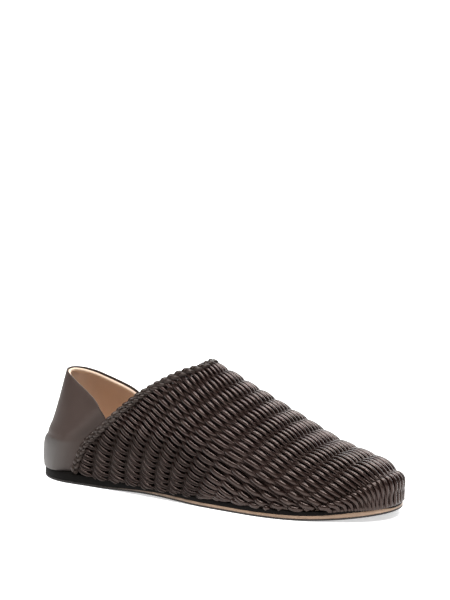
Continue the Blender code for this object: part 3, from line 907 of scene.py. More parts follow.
@dataclass(frozen=True)
class StrandFinish(LeatherFinish):
    """Rolled leather cord: each has its own shade, a rubbed crest, a fine lengthwise crease and painted shade
    that darkens its groove.
    """

    # Near-black colour for painted shade in the groove between the two lobes of a doubled cord.
    groove_shade: Colour = (0.004, 0.003, 0.0025)
    groove_shade_band: Tuple[float, float] = (0.0, 0.25)
    groove_shade_share: float = 0.92
    seam_matt: Tuple[float, float] = (0.0, 0.3)
    seam_rough: float = 0.6
    own_share: float = 0.7
    crest_band: Tuple[float, float] = (0.55, 1.0)
    wear: Tuple[float, float] = (0.6, 0.15)
    crease_stretch: Tuple[float, float, float] = (0.12, 0.002, 0.5)
    crease_scale: float = 900.0
    crease_detail: float = 2.0
    crease_depth: float = 1.4

    def make(self, effects: Effects) -> bpy.types.Material:
        """Finished material.

        Args:
            effects: Shared groups.

        Returns:
            The material.
        """
        material, n, taps = self.start(effects)
        own, rise, along, groove = (n.add("ShaderNodeAttribute", attribute_name=name).outputs["Fac"]
                                    for name in ("shade", "rise", "along", "groove"))
        shade = n.math("MULTIPLY", own, self.own_share)
        mixed = n.math("ADD", shade, n.math("MULTIPLY", taps["clouds"], 1 - self.own_share))
        dye = n.blend(mixed, self.dark, self.light)
        rubbed = n.math("ADD", n.math("MULTIPLY", taps["rubs"], self.wear[0]), self.wear[1])
        worn = n.blend(n.math("MULTIPLY", n.spread(rise, *self.crest_band), rubbed), dye, self.rub)
        # Painted shade: the groove is blended towards the near-black colour.
        colour = n.blend(n.spread(groove, *self.groove_shade_band, (0.0, self.groove_shade_share)), worn, self.groove_shade)
        sheen = n.spread(taps["clouds"], 0.0, 1.0, self.roughness)
        rough = n.math("ADD", sheen, n.spread(groove, *self.seam_matt, (0.0, self.seam_rough)))
        lane = [n.math("MULTIPLY", tap, by) for tap, by in zip((along, rise, own), self.crease_stretch)]
        where = n.add("ShaderNodeCombineXYZ", dict(enumerate(lane))).outputs[0]
        fibres = {"Vector": where, "Scale": self.crease_scale, "Detail": self.crease_detail}
        crease = n.add("ShaderNodeTexNoise", fibres).outputs[0]
        height = n.math("ADD", taps["height"], n.math("MULTIPLY", crease, self.crease_depth))
        return self.close(material, n, colour, rough, height)


@dataclass(frozen=True)
class CounterFinish(LeatherFinish):
    """Smooth counter leather, with painted sheen: paler and greyer below the fold at the back of the heel."""

    # The colour below is painted sheen: the grey light that the leather below the fold catches, put into its
    # base colour.
    painted_cup_sheen: Colour = (0.068, 0.063, 0.060)
    fold: Tuple[float, float] = (0.0252, 0.028)
    sheen_front: Tuple[float, float] = (-0.085, -0.112)

    def make(self, effects: Effects) -> bpy.types.Material:
        """Finished material.

        Args:
            effects: Shared groups.

        Returns:
            The material.
        """
        material, n, taps = self.start(effects)
        x, _, z = n.add("ShaderNodeSeparateXYZ", {0: taps["spot"]}).outputs
        # Mask of the painted sheen: below the fold and towards the back of the heel.
        below = n.math("SUBTRACT", 1.0, n.spread(z, *self.fold))
        pale = n.math("MULTIPLY", below, n.spread(x, *self.sheen_front))
        colour = n.blend(pale, self.colour(n, taps), self.painted_cup_sheen)
        rough = n.spread(taps["clouds"], 0.0, 1.0, self.roughness)
        return self.close(material, n, colour, rough, taps["height"])


@dataclass(frozen=True)
class CutEdgeFinish(LeatherFinish):
    """Cut edge of sole leather: fibres in layers, stained dark at the heel."""

    stain: Colour = (0.022, 0.018, 0.016)
    stain_end: Tuple[float, float] = (-0.085, 0.03)
    stain_ragged: float = 0.012
    fibre_scale: Tuple[float, float, float] = (40.0, 40.0, 2600.0)
    fibre_band: Tuple[float, float] = (0.3, 0.7)
    fibre_detail: float = 4.0
    fibre_depth: float = 1.6

    def make(self, effects: Effects) -> bpy.types.Material:
        """Finished material.

        Args:
            effects: Shared groups.

        Returns:
            The material.
        """
        material, n, taps = self.start(effects)
        flat = n.add("ShaderNodeMapping", {"Vector": taps["spot"], "Scale": self.fibre_scale}).outputs[0]
        layered = {"Vector": flat, "Scale": 1.0, "Detail": self.fibre_detail}
        fibre = n.add("ShaderNodeTexNoise", layered).outputs[0]
        dye = n.blend(n.spread(fibre, *self.fibre_band), self.dark, self.light)
        dye = n.blend(n.math("MULTIPLY", taps["rubs"], self.rub_amount), dye, self.rub)
        x = n.add("ShaderNodeSeparateXYZ", {0: taps["spot"]}).outputs[0]
        cloudy = n.math("SUBTRACT", taps["clouds"], 0.5)
        ragged = n.math("ADD", x, n.math("MULTIPLY", cloudy, self.stain_ragged))
        colour = n.blend(n.spread(ragged, *self.stain_end), self.stain, dye)
        rough = n.spread(fibre, *self.fibre_band, self.roughness)
        return self.close(material, n, colour, rough, n.math("MULTIPLY", fibre, self.fibre_depth))


@dataclass(frozen=True)
class TreadFinish(LeatherFinish):
    """Thin rubber tread with low cross ribs."""

    rib_pitch: float = 0.0032
    rib_band: Tuple[float, float] = (-0.5, 0.5)
    rib_depth: float = 5.0

    def make(self, effects: Effects) -> bpy.types.Material:
        """Finished material.

        Args:
            effects: Shared groups.

        Returns:
            The material.
        """
        material, n, taps = self.start(effects)
        x = n.add("ShaderNodeSeparateXYZ", {0: taps["spot"]}).outputs[0]
        wave = n.math("SINE", n.math("MULTIPLY", x, 2 * math.pi / self.rib_pitch))
        ribs = n.math("MULTIPLY", n.spread(wave, *self.rib_band), self.rib_depth)
        height = n.math("ADD", ribs, taps["height"])
        rough = n.spread(taps["clouds"], 0.0, 1.0, self.roughness)
        return self.close(material, n, self.colour(n, taps), rough, height)


@dataclass
class Finishes:
    """All finishes of the slipper."""

    effects: Effects = field(default_factory=Effects)

    def __post_init__(self) -> None:
        """Makes the materials."""
        worn = (0.06, 0.045, 0.038)
        self.strand = StrandFinish(
            "strand_leather", (0.0066, 0.0028, 0.0021), (0.0118, 0.0054, 0.0042), worn,
            roughness=(0.18, 0.24), specular=0.42, tint=(1.0, 0.78, 0.71), pebble=1500.0, vein=300.0,
            depth=0.000015).make(self.effects)
        self.plait = StrandFinish(
            "plait_leather", (0.009, 0.0055, 0.0044), (0.016, 0.0098, 0.008), worn,
            roughness=(0.25, 0.32), specular=0.32, tint=(1.0, 0.88, 0.82), pebble=1500.0, vein=300.0,
            depth=0.00003).make(self.effects)
        self.stake = LeatherFinish(
            "stake_leather", (0.006, 0.0045, 0.004), (0.010, 0.008, 0.007), (0.015, 0.012, 0.010),
            roughness=(0.6, 0.7), specular=0.05).make(self.effects)
        # The vamp lining is a real sheet that stops the view through the weave, but its near-black colour is
        # painted shade for the gaps between the strands.
        self.vamp_shade_lining = LeatherFinish(
            "vamp_shade_lining_leather", (0.008, 0.006, 0.005), (0.014, 0.010, 0.009), (0.02, 0.015, 0.013),
            roughness=(0.7, 0.8), specular=0.05).make(self.effects)
        self.counter = CounterFinish(
            "counter_leather", (0.034, 0.022, 0.018), (0.0425, 0.0285, 0.0242), (0.058, 0.042, 0.037),
            roughness=(0.5, 0.58), specular=0.3, tint=(1.0, 0.9, 0.86), pebble=1100.0, depth=0.00002,
            rub_amount=0.18).make(self.effects)
        self.lining = LeatherFinish(
            "lining_leather", (0.66, 0.485, 0.365), (0.72, 0.54, 0.415), (0.76, 0.59, 0.47),
            roughness=(0.55, 0.65), pebble=800.0, depth=0.00003, rub_amount=0.3).make(self.effects)
        # The collar roll is a lighter copy of the lining's tan: painted highlight for the light that its
        # rolled top catches.
        self.roll = LeatherFinish(
            "collar_roll_lit_leather", (0.70, 0.52, 0.38), (0.77, 0.59, 0.45), (0.82, 0.66, 0.52),
            roughness=(0.5, 0.6), pebble=800.0, depth=0.00003).make(self.effects)
        self.sock = LeatherFinish(
            "sock_leather", (0.58, 0.42, 0.31), (0.66, 0.49, 0.37), (0.72, 0.55, 0.43),
            roughness=(0.5, 0.62), pebble=700.0, depth=0.00004, rub_amount=0.35).make(self.effects)
        self.midsole = LeatherFinish(
            "midsole_edge_leather", (0.003, 0.0026, 0.0023), (0.006, 0.005, 0.0045), (0.012, 0.010, 0.009),
            roughness=(0.6, 0.7), specular=0.05, depth=0.00003).make(self.effects)
        self.outsole = CutEdgeFinish(
            "outsole_cut_edge", (0.21, 0.13, 0.08), (0.31, 0.205, 0.138), (0.45, 0.32, 0.225),
            roughness=(0.45, 0.6), depth=0.00004).make(self.effects)
        self.tread = TreadFinish(
            "tread_rubber", (0.012, 0.010, 0.009), (0.018, 0.015, 0.014), (0.03, 0.027, 0.025),
            roughness=(0.6, 0.75), depth=0.0001).make(self.effects)


@dataclass
class Report:
    """Hands each finished piece to the frame and logs it."""

    triangles: int = 0

    def add(self, piece: bpy.types.Object, slot: Slot, node: Optional[str] = None) -> None:
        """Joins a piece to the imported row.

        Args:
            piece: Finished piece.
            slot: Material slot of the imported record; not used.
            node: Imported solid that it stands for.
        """
        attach(piece, "root")
        if node:
            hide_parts(node)
        count = sum(len(p.vertices) - 2 for p in piece.data.polygons)
        LOG.info("%s: %d triangles%s", piece.name, count, f", stands for {node}" if node else "")
        self.triangles += count


@dataclass(frozen=True)
class ToeBand:
    """How the last band of the weave folds down over the toe.

    Lengths are millimetres. A value that ends in hoop counts hoops, and one that ends in arc is an arc from
    the ridge. Runs and places along the band are parts of a hoop, and the share is a part of the room between
    strands.
    """

    height: float = 2.4
    near: float = 0.06
    end: float = 0.95
    tip_arc: Tuple[float, float] = (18.0, 38.0)
    split: float = 0.72
    calm: float = 0.35
    calm_run: float = 0.35
    share: float = 0.07
    share_run: float = 0.2
    belly: float = 1.8
    belly_power: float = 1.4
    side: float = 0.9
    side_run: float = 0.4
    corner: float = 1.1
    corner_at: float = 0.15
    corner_run: float = 0.25
    slant: float = 5.0
    slant_hoop: Tuple[float, float] = (11.0, 12.0)
    slant_arc: Tuple[float, float] = (12.0, 36.0)
    drop: float = 2.4
    drop_hoop: Tuple[float, float] = (11.25, 12.0)
    drop_arc: Tuple[float, float] = (12.0, 40.0)


@dataclass
class Course:
    """Where one strand runs: its arcs, the arc left below it and its room at each hoop step, and its ends."""

    arcs: np.ndarray
    left: np.ndarray
    room: np.ndarray
    first: float
    end: float
    toe: bool


@dataclass
class Lay:
    """Stations of one strand: hoop numbers and arcs, with the shares that shape it there."""

    k: np.ndarray
    d: np.ndarray
    wave: np.ndarray
    over: np.ndarray
    low: np.ndarray
    hidden: np.ndarray
    tip: np.ndarray
    past: np.ndarray


@dataclass
class WovenVamp:
    """Vamp of rolled strands that run over one stake and under the next.

    Lengths are millimetres. A value that ends in hoop counts hoops, as the steps and gaps of the stations
    and the run of the start do, and one that ends in arc is an arc from the ridge. A share is a part of the
    room between strands, and a drift is how far they move out over one hoop.
    """

    hoops: HoopField
    sweep: CordSweep
    finishes: Finishes
    toe: ToeBand = ToeBand()
    seed: int = 7
    strands: int = 77
    strand_sides: int = 12
    pitch_arc: Tuple[float, ...] = (0.0, 12.0, 25.0, 35.0, 45.0, 55.0, 65.0, 75.0, 90.0)
    pitch: Tuple[float, ...] = (2.0, 1.9, 1.71, 1.78, 2.0, 2.2, 2.15, 1.95, 1.76)
    seed_hoop: float = 3.0
    drift_hoop: Tuple[float, ...] = (-4.0, -1.0, 0.0, 1.0, 2.0, 3.0, 4.0, 6.0, 8.0, 9.0, 10.0, 11.0, 12.0)
    drift_side: Tuple[float, ...] = (4.5, 4.6, 4.5, 3.9, 1.9, 1.5, 0.0, -0.2, 0.4, 1.3, 2.4, -2.0, -3.0)
    drift_low: Tuple[float, ...] = (2.2, 2.2, 1.8, 1.3, 1.2, 1.4, 1.8, 2.2, 2.0, 1.0, 0.0, 0.0, 0.0)
    low_arc: Tuple[float, float] = (46.0, 76.0)
    parting: float = 9.0
    parting_run: float = 25.0
    turn: float = 4.5
    turn_hoop: Tuple[float, float] = (4.0, 6.0)
    run_out: float = 5.0
    run_under: float = -1.0
    sole_clear: float = 0.35
    fewest_steps: int = 14
    samples: int = 9
    toe_samples: int = 18
    start_step: float = 0.06
    start_gap: float = 0.1
    fine_gap: float = 0.02
    end_gap: float = 0.03
    arc_jitter: float = 0.09
    depth_jitter: float = 0.07
    size_jitter: float = 0.035
    middle: float = 2.45
    swing: float = 1.3
    wave_power: float = 0.68
    over_power: float = 0.8
    calm: float = 0.45
    ridge_calm: Tuple[float, float] = (20.0, 11.0)
    low_room: Tuple[float, float] = (12.0, 46.0)
    low_hoop: Tuple[float, float] = (3.0, 7.0)
    sag: float = 1.3
    belly: float = 1.3
    scallop: float = 0.7
    scallop_hoop: Tuple[float, float] = (6.0, 9.5)
    scallop_end_hoop: Tuple[float, float] = (10.4, 11.0)
    scallop_loss: float = 0.8
    scallop_power: float = 1.5
    start_run: float = 0.3
    start_depth: float = 1.9
    end_run: float = 3.0
    end_depth: float = 1.3
    end_thin: float = 0.2
    end_drop: float = 0.7
    drop_hoop: Tuple[float, float] = (8.0, 11.0)
    flat_hoop: Tuple[float, float] = (5.0, 7.0)
    tuck_in: float = 1.5
    tuck_down: float = 0.8
    tuck_on: float = 0.5
    thickest: float = 2.3
    valley_share: float = 0.45
    crest_share: float = 0.70
    low_share: float = 0.22
    bare_arc: Tuple[float, float] = (32.0, 50.0)
    bare_share: float = 0.22
    valley_thin: float = 0.85
    crest_thin: float = 1.15
    groove: float = 0.95
    groove_low: Tuple[float, float] = (0.15, 0.6)
    stake_wide: float = 2.4
    stake_thin: float = 0.3
    stake_sides: int = 8
    stake_points: int = 120
    stake_fewest: int = 4
    stake_end: float = 1.0
    stake_edge: float = 1.5
    stake_foot: float = 0.6
    lining_depth: float = 4.75
    lining_thick: float = 0.6
    lining_grid: Tuple[int, int] = (64, 72)
    lining_ends: Tuple[float, float] = (0.05, 0.98)
    hem: float = 0.4
    toe_hem: float = 7.0
    hem_hoops: float = 2.0

    def __post_init__(self) -> None:
        """Fixes the random numbers and lays out how the strands fan out from the ridge."""
        self.rng = np.random.default_rng(self.seed)
        step = self.hoops.step
        self.ks = np.arange(self.hoops.first, self.hoops.count + 1 + step / 2, step)
        self.drift = Table(self.drift_hoop, self.drift_side)
        self.drift_more = Table(self.drift_hoop, self.drift_low)
        pitch = Table(self.pitch_arc, self.pitch)
        half = [0.0]
        for _ in range(self.strands + 1):
            half.append(half[-1] + float(pitch(half[-1])))
        seeds = np.array([-d for d in half[:0:-1]] + half) + self.parting
        start = int(round((self.seed_hoop - self.hoops.first) / step))
        self.lines = np.zeros((len(seeds), len(self.ks)))
        self.lines[:, start] = seeds
        for i in range(start, len(self.ks) - 1):
            self.lines[:, i + 1] = self.lines[:, i] + step * self.spread(self.ks[i], self.lines[:, i])
        for i in range(start, 0, -1):
            self.lines[:, i - 1] = self.lines[:, i] - step * self.spread(self.ks[i], self.lines[:, i])

    def spread(self, k: float, d: np.ndarray) -> np.ndarray:
        """How far strands move outwards over one hoop, more strongly low on the sides."""
        low = self.drift_more(k) * np.sign(d) * smooth(np.abs(d), *self.low_arc)
        return self.drift(k) * np.tanh((d - self.parting) / self.parting_run) + low

    def jitter(self, ks: np.ndarray, amount: float) -> np.ndarray:
        """Small uneven shift along a strand, new at each hoop."""
        knots = np.arange(self.hoops.first, self.hoops.count + 3)
        return np.interp(ks, knots, self.rng.normal(0.0, amount, len(knots)))

    def course(self, j: int) -> Optional[Course]:
        """Where a strand runs.

        Args:
            j: Strand number from the ridge, negative on the outer side.

        Returns:
            The course, or None where the sole hides the strand.
        """
        hoops, ks = self.hoops, self.ks
        row = j + self.strands + 1
        arcs = self.lines[row]
        reach = hoops.side_reach(ks, arcs)
        left = reach - np.abs(arcs)
        fore = smooth(ks, *self.turn_hoop)
        arcs = np.sign(arcs) * (reach - (left + np.hypot(left, self.turn * fore)) / 2)
        first = float(hoops.edge_hoop(lambda k: np.interp(k, ks, arcs)))
        spots = hoops.point(ks, arcs)
        above = spots[:, 2] - hoops.last.feather(spots[:, 0]) - hoops.last.seat_gap
        inside = (ks > first) & (ks <= hoops.count) & (above > self.sole_clear)
        inside &= left > self.sole_clear - self.run_out * fore
        if inside.sum() < self.fewest_steps:
            return None
        end = float(ks[np.nonzero(inside)[0][-1]])
        clear = float(np.interp(hoops.count, ks, above)) > self.toe.height
        toe = end > hoops.count - self.toe.near and clear
        room = (self.lines[row + 1] - self.lines[row - 1]) / 2
        return Course(arcs, left, room, first, hoops.count + self.toe.end if toe else end, toe)

    def stations(self, course: Course) -> np.ndarray:
        """Hoop numbers at which a strand is worked out, closer together over the toe.

        Args:
            course: Where the strand runs.

        Returns:
            The hoop numbers.
        """
        first, end, count = course.first, course.end, self.samples
        even = np.arange(math.ceil(first * count) + 1, math.floor(end * count)) / count
        even = even[(even > first + self.start_gap) & (even < self.hoops.count - self.fine_gap)]
        fine = np.arange(self.hoops.count, end - self.end_gap, 1 / self.toe_samples)
        return np.concatenate([[first, first + self.start_step], even, fine, [end]])

    def lay(self, j: int, course: Course) -> Lay:
        """Stations of a strand, with its overs and unders.

        Args:
            j: Strand number from the ridge, negative on the outer side.
            course: Where the strand runs.

        Returns:
            The stations.
        """
        toe = self.toe
        k = self.stations(course)
        d = np.interp(k, self.ks, course.arcs) + self.jitter(k, self.arc_jitter)
        d = d - np.sign(d) * toe.slant * smooth(k, *toe.slant_hoop) * smooth(np.abs(d), *toe.slant_arc)
        tip = 1 - smooth(np.abs(d), *toe.tip_arc)
        past = np.maximum(k - self.hoops.count, 0.0)
        turn = np.sin(math.pi * (k + past * tip * (1 / toe.split - 1))) * (-1) ** j
        wave = np.sign(turn) * np.abs(turn) ** self.wave_power
        over = np.maximum(turn, 0.0) ** self.over_power
        left = self.hoops.side_reach(k, d) - np.abs(d)
        low = (1 - smooth(left, *self.low_room)) * (1 - smooth(k, *self.low_hoop))
        return Lay(k, d, wave, over, low, bell(d, *self.ridge_calm), tip, past)

    def depth(self, course: Course, lay: Lay) -> np.ndarray:
        """Depth of a strand's middle under the face.

        Args:
            course: Where the strand runs.
            lay: Its stations.

        Returns:
            The depths.
        """
        toe = self.toe
        calm = self.calm * lay.hidden
        swing = self.swing - (calm + self.swing * toe.calm * lay.tip * smooth(lay.past, 0.0, toe.calm_run))
        depth = self.middle - calm - swing * lay.wave - self.belly * lay.low * lay.over
        depth = depth + self.jitter(lay.k, self.depth_jitter)
        fade = 1 - self.scallop_loss * smooth(lay.k, *self.scallop_end_hoop)
        dip = self.scallop * smooth(lay.k, *self.scallop_hoop) * fade * (1 - lay.hidden)
        depth = depth + dip * (1 - np.abs(np.sin(math.pi * lay.k))) ** self.scallop_power
        depth = depth - toe.belly * lay.tip * np.sin(math.pi * lay.past) ** toe.belly_power
        depth = depth - toe.side * (1 - lay.tip) * lay.over * smooth(lay.past, 0.0, toe.side_run)
        corner = bell(lay.k, self.hoops.count + toe.corner_at, toe.corner_run) * (lay.past > 0)
        depth = depth + toe.corner * lay.tip * lay.over * corner
        depth = depth + smooth(np.interp(lay.k, self.ks, -course.left), self.run_under, self.run_out)
        begin = smooth(lay.k - course.first, 0.0, self.start_run)
        return depth * begin + self.start_depth * (1 - begin)

    def sizes(self, course: Course, lay: Lay, near: np.ndarray) -> Tuple[np.ndarray, np.ndarray]:
        """Half sizes of a strand, larger where it lies over a stake.

        Args:
            course: Where the strand runs.
            lay: Its stations.
            near: Nearness of each station to the strand's end, from 0 to 1.

        Returns:
            Half widths and half thicknesses.
        """
        size = 1 + self.rng.normal(0.0, self.size_jitter)
        room = np.minimum(np.interp(lay.k, self.ks, course.room), self.thickest)
        crest = self.crest_share + self.low_share * lay.low
        bare = smooth(np.abs(lay.d), *self.bare_arc) * smooth(lay.k, *self.turn_hoop)
        toe_share = self.toe.share * lay.tip * smooth(lay.past, 0.0, self.toe.share_run)
        valley = self.valley_share + self.bare_share * bare + toe_share
        wide = room * (valley + (crest - valley) * lay.over) * size
        thin = (self.valley_thin + (self.crest_thin - self.valley_thin) * lay.over) * size
        return wide, thin * (1 - self.end_thin * near)

    def strand(self, j: int) -> Optional[CordRun]:
        """One strand.

        Args:
            j: Strand number from the ridge, negative on the outer side.

        Returns:
            The strand, or None where the sole hides it.
        """
        course = self.course(j)
        if course is None:
            return None
        toe = self.toe
        lay = self.lay(j, course)
        depth = self.depth(course, lay)
        lift = self.hoops.normal(lay.k, lay.d)
        centre = self.hoops.point(lay.k, lay.d) - lift * depth[:, None]
        centre[:, 2] -= self.sag * lay.low * lay.over
        arc = arc_length(centre)
        near = smooth(arc, arc[-1] - self.end_run, arc[-1])
        wide, thin = self.sizes(course, lay, near)
        split = self.groove * smooth(lay.low, *self.groove_low)
        flat = 0.0 if course.toe else float(smooth(course.end, *self.flat_hoop))
        centre = centre + lift * (near * (depth - self.end_depth) * (1 - flat))[:, None]
        centre[:, 2] -= self.end_drop * near * float(smooth(course.end, *self.drop_hoop))
        centre[:, 2] -= toe.drop * smooth(lay.k, *toe.drop_hoop) * (1 - smooth(np.abs(lay.d), *toe.drop_arc))
        down = np.array([0.0, 0.0, -self.tuck_down])
        tuck = centre[-1] - lift[-1] * self.tuck_in + down + unit(centre[-1] - centre[-2]) * self.tuck_on
        sizes = [np.append(values, values[-1]) for values in (wide, thin, split)]
        line = np.concatenate([centre, [tuck]])
        return CordRun(line, np.concatenate([lift, lift[-1:]]), *sizes, float(self.rng.random()))

    def stakes(self) -> List[CordRun]:
        """Flat strips that lie across the foot inside the weave.

        Returns:
            The strips.
        """
        hoops = self.hoops
        runs = []
        for band in range(hoops.first, hoops.count + 1):
            at_toe = band == hoops.count
            k = band + (self.toe.split / 2 if at_toe else 0.5)
            ends = [float(hoops.reach(k, side)) - self.stake_end for side in (Side.OUTER, Side.INNER)]
            ds = np.linspace(-ends[0], ends[1], self.stake_points)
            p = hoops.point(k, ds)
            inside = p[:, 0] > hoops.last.edge(p[:, 2]) + self.stake_edge
            inside &= p[:, 2] > hoops.last.feather(p[:, 0]) + (self.toe.height if at_toe else self.stake_foot)
            inside &= (np.abs(ds) < self.bare_arc[0]) | (k < self.turn_hoop[0])
            breaks = np.nonzero(np.diff(inside.astype(int)))[0] + 1
            for row, kept in zip(np.split(ds, breaks), np.split(inside, breaks)):
                if kept[0] and len(row) > self.stake_fewest:
                    size = np.ones(len(row))
                    runs.append(CordRun(hoops.lifted(k, row, size * self.middle), hoops.normal(k, row),
                                        size * self.stake_wide, size * self.stake_thin, size * 0.0))
        return runs

    def lining(self) -> bpy.types.Object:
        """Thin lining behind the weave, open at the rear and underneath; its near-black colour is painted
        shade that darkens the gaps between the strands.

        Returns:
            The piece.
        """
        hoops = self.hoops
        rows, columns = self.lining_grid
        share = np.sin(np.linspace(-math.pi / 2, math.pi / 2, rows))
        hem = lambda k: self.hem + self.toe_hem * smooth(k, hoops.count - self.hem_hoops, hoops.count)
        reach = lambda k: hoops.side_reach(k, share) - hem(k)
        start = hoops.edge_hoop(lambda k: share * reach(k)) + self.lining_ends[0]
        faces_at = []
        for depth in (self.lining_depth, self.lining_depth + self.lining_thick):
            grid = np.zeros((rows, columns, 3))
            for j, t in enumerate(np.linspace(0.0, 1.0, columns)):
                k = start + (hoops.count + self.lining_ends[1] - start) * t
                grid[:, j] = hoops.lifted(k, share * reach(k), np.full(rows, depth))
            faces_at.append(grid.reshape(-1, 3))
        count = rows * columns
        sheet = loops(rows, columns, False)
        faces = sheet + [[v + count for v in f[::-1]] for f in sheet]
        rim = list(range(columns)) + [i * columns + columns - 1 for i in range(1, rows)]
        rim += [(rows - 1) * columns + j for j in range(columns - 2, -1, -1)]
        rim += [i * columns for i in range(rows - 2, 0, -1)]
        for a, b in zip(rim, rim[1:] + rim[:1]):
            faces.append([a, b, b + count, a + count])
        return solid("vamp_shade_lining", np.concatenate(faces_at), faces, self.finishes.vamp_shade_lining, hoops.last)

    def build(self, report: Report) -> None:
        """Makes strands, stakes and lining.

        Args:
            report: Takes each finished piece.
        """
        last, finishes = self.hoops.last, self.finishes
        groups = {"outer_strands": range(-self.strands, 0), "inner_strands": range(self.strands + 1)}
        for name, numbers in groups.items():
            runs = [run for run in map(self.strand, numbers) if run]
            piece = self.sweep.build(name, runs, self.strand_sides, finishes.strand, last)
            report.add(piece, Slot.STRAND, "woven_vamp")
        stakes = self.sweep.build("hoop_stakes", self.stakes(), self.stake_sides, finishes.stake, last)
        report.add(stakes, Slot.STRAND)
        report.add(self.lining(), Slot.STRAND)


@dataclass
class ToplinePlait:
    """Plait of three cords along the rear edge of the weave."""

    hoops: HoopField
    sweep: CordSweep
    finishes: Finishes
    cords: int = 3
    sides: int = 8
    period: float = 15.6
    spread: float = 1.5
    lift: float = 1.1
    half: float = 1.5
    flatten: float = 0.92
    depth: float = 1.35
    behind: float = 0.1
    foot_gap: float = 1.4
    path_points: int = 420
    turn_points: int = 14
    ease: int = 25
    shade: Tuple[float, float] = (0.3, 0.2)

    def eased(self, rows: np.ndarray) -> np.ndarray:
        """Rows with short bends rounded off, as a plait cannot turn a corner.

        Args:
            rows: Points or directions along the plait.

        Returns:
            The eased rows.
        """
        weights = np.hanning(self.ease)[1:-1]
        margin = len(weights) // 2
        wide = np.pad(rows, ((margin, margin), (0, 0)), mode="reflect", reflect_type="odd")
        return np.stack([np.convolve(wide[:, c], weights / weights.sum(), "valid") for c in range(3)], -1)

    def path(self) -> Tuple[np.ndarray, np.ndarray, np.ndarray]:
        """Middle line of the plait.

        Returns:
            Its points, with their rearward and outward directions.
        """
        hoops = self.hoops
        reach = [float(hoops.reach(hoops.corner, side)) - self.foot_gap for side in (Side.OUTER, Side.INNER)]
        ds = np.linspace(-reach[0], reach[1], self.path_points)
        ks = hoops.edge_hoop(lambda k: ds + 0.0 * k)
        face, out = (self.eased(rows) for rows in (hoops.point(ks, ds), hoops.normal(ks, ds)))
        along = unit(np.gradient(face, axis=0))
        back = np.cross(out, along)
        back = unit(back * np.where(back[:, :1] > 0, -1.0, 1.0))
        return face - out * self.depth + back * self.behind, back, out

    def build(self, report: Report) -> None:
        """Makes the plait.

        Args:
            report: Takes the finished piece.
        """
        centre, back, out = self.path()
        arc = arc_length(centre)
        turns = round(arc[-1] / self.period)
        at = np.linspace(0.0, arc[-1], turns * self.turn_points + 1)
        pick = lambda rows: np.stack([np.interp(at, arc, rows[:, c]) for c in range(3)], -1)
        centre, back, out = pick(centre), unit(pick(back)), unit(pick(out))
        full = np.full(len(at), self.half)
        runs = []
        for cord in range(self.cords):
            t = 2 * math.pi * (at / arc[-1] * turns + cord / self.cords)
            aside = back * (self.spread * np.sin(t))[:, None]
            line = centre + aside + out * (self.lift * np.sin(2 * t))[:, None]
            own = self.shade[0] + self.shade[1] * cord
            runs.append(CordRun(line, out, full, full * self.flatten, full * 0.0, own))
        piece = self.sweep.build("topline_plait", runs, self.sides, self.finishes.plait, self.hoops.last)
        report.add(piece, Slot.BRAID, "topline_braid")


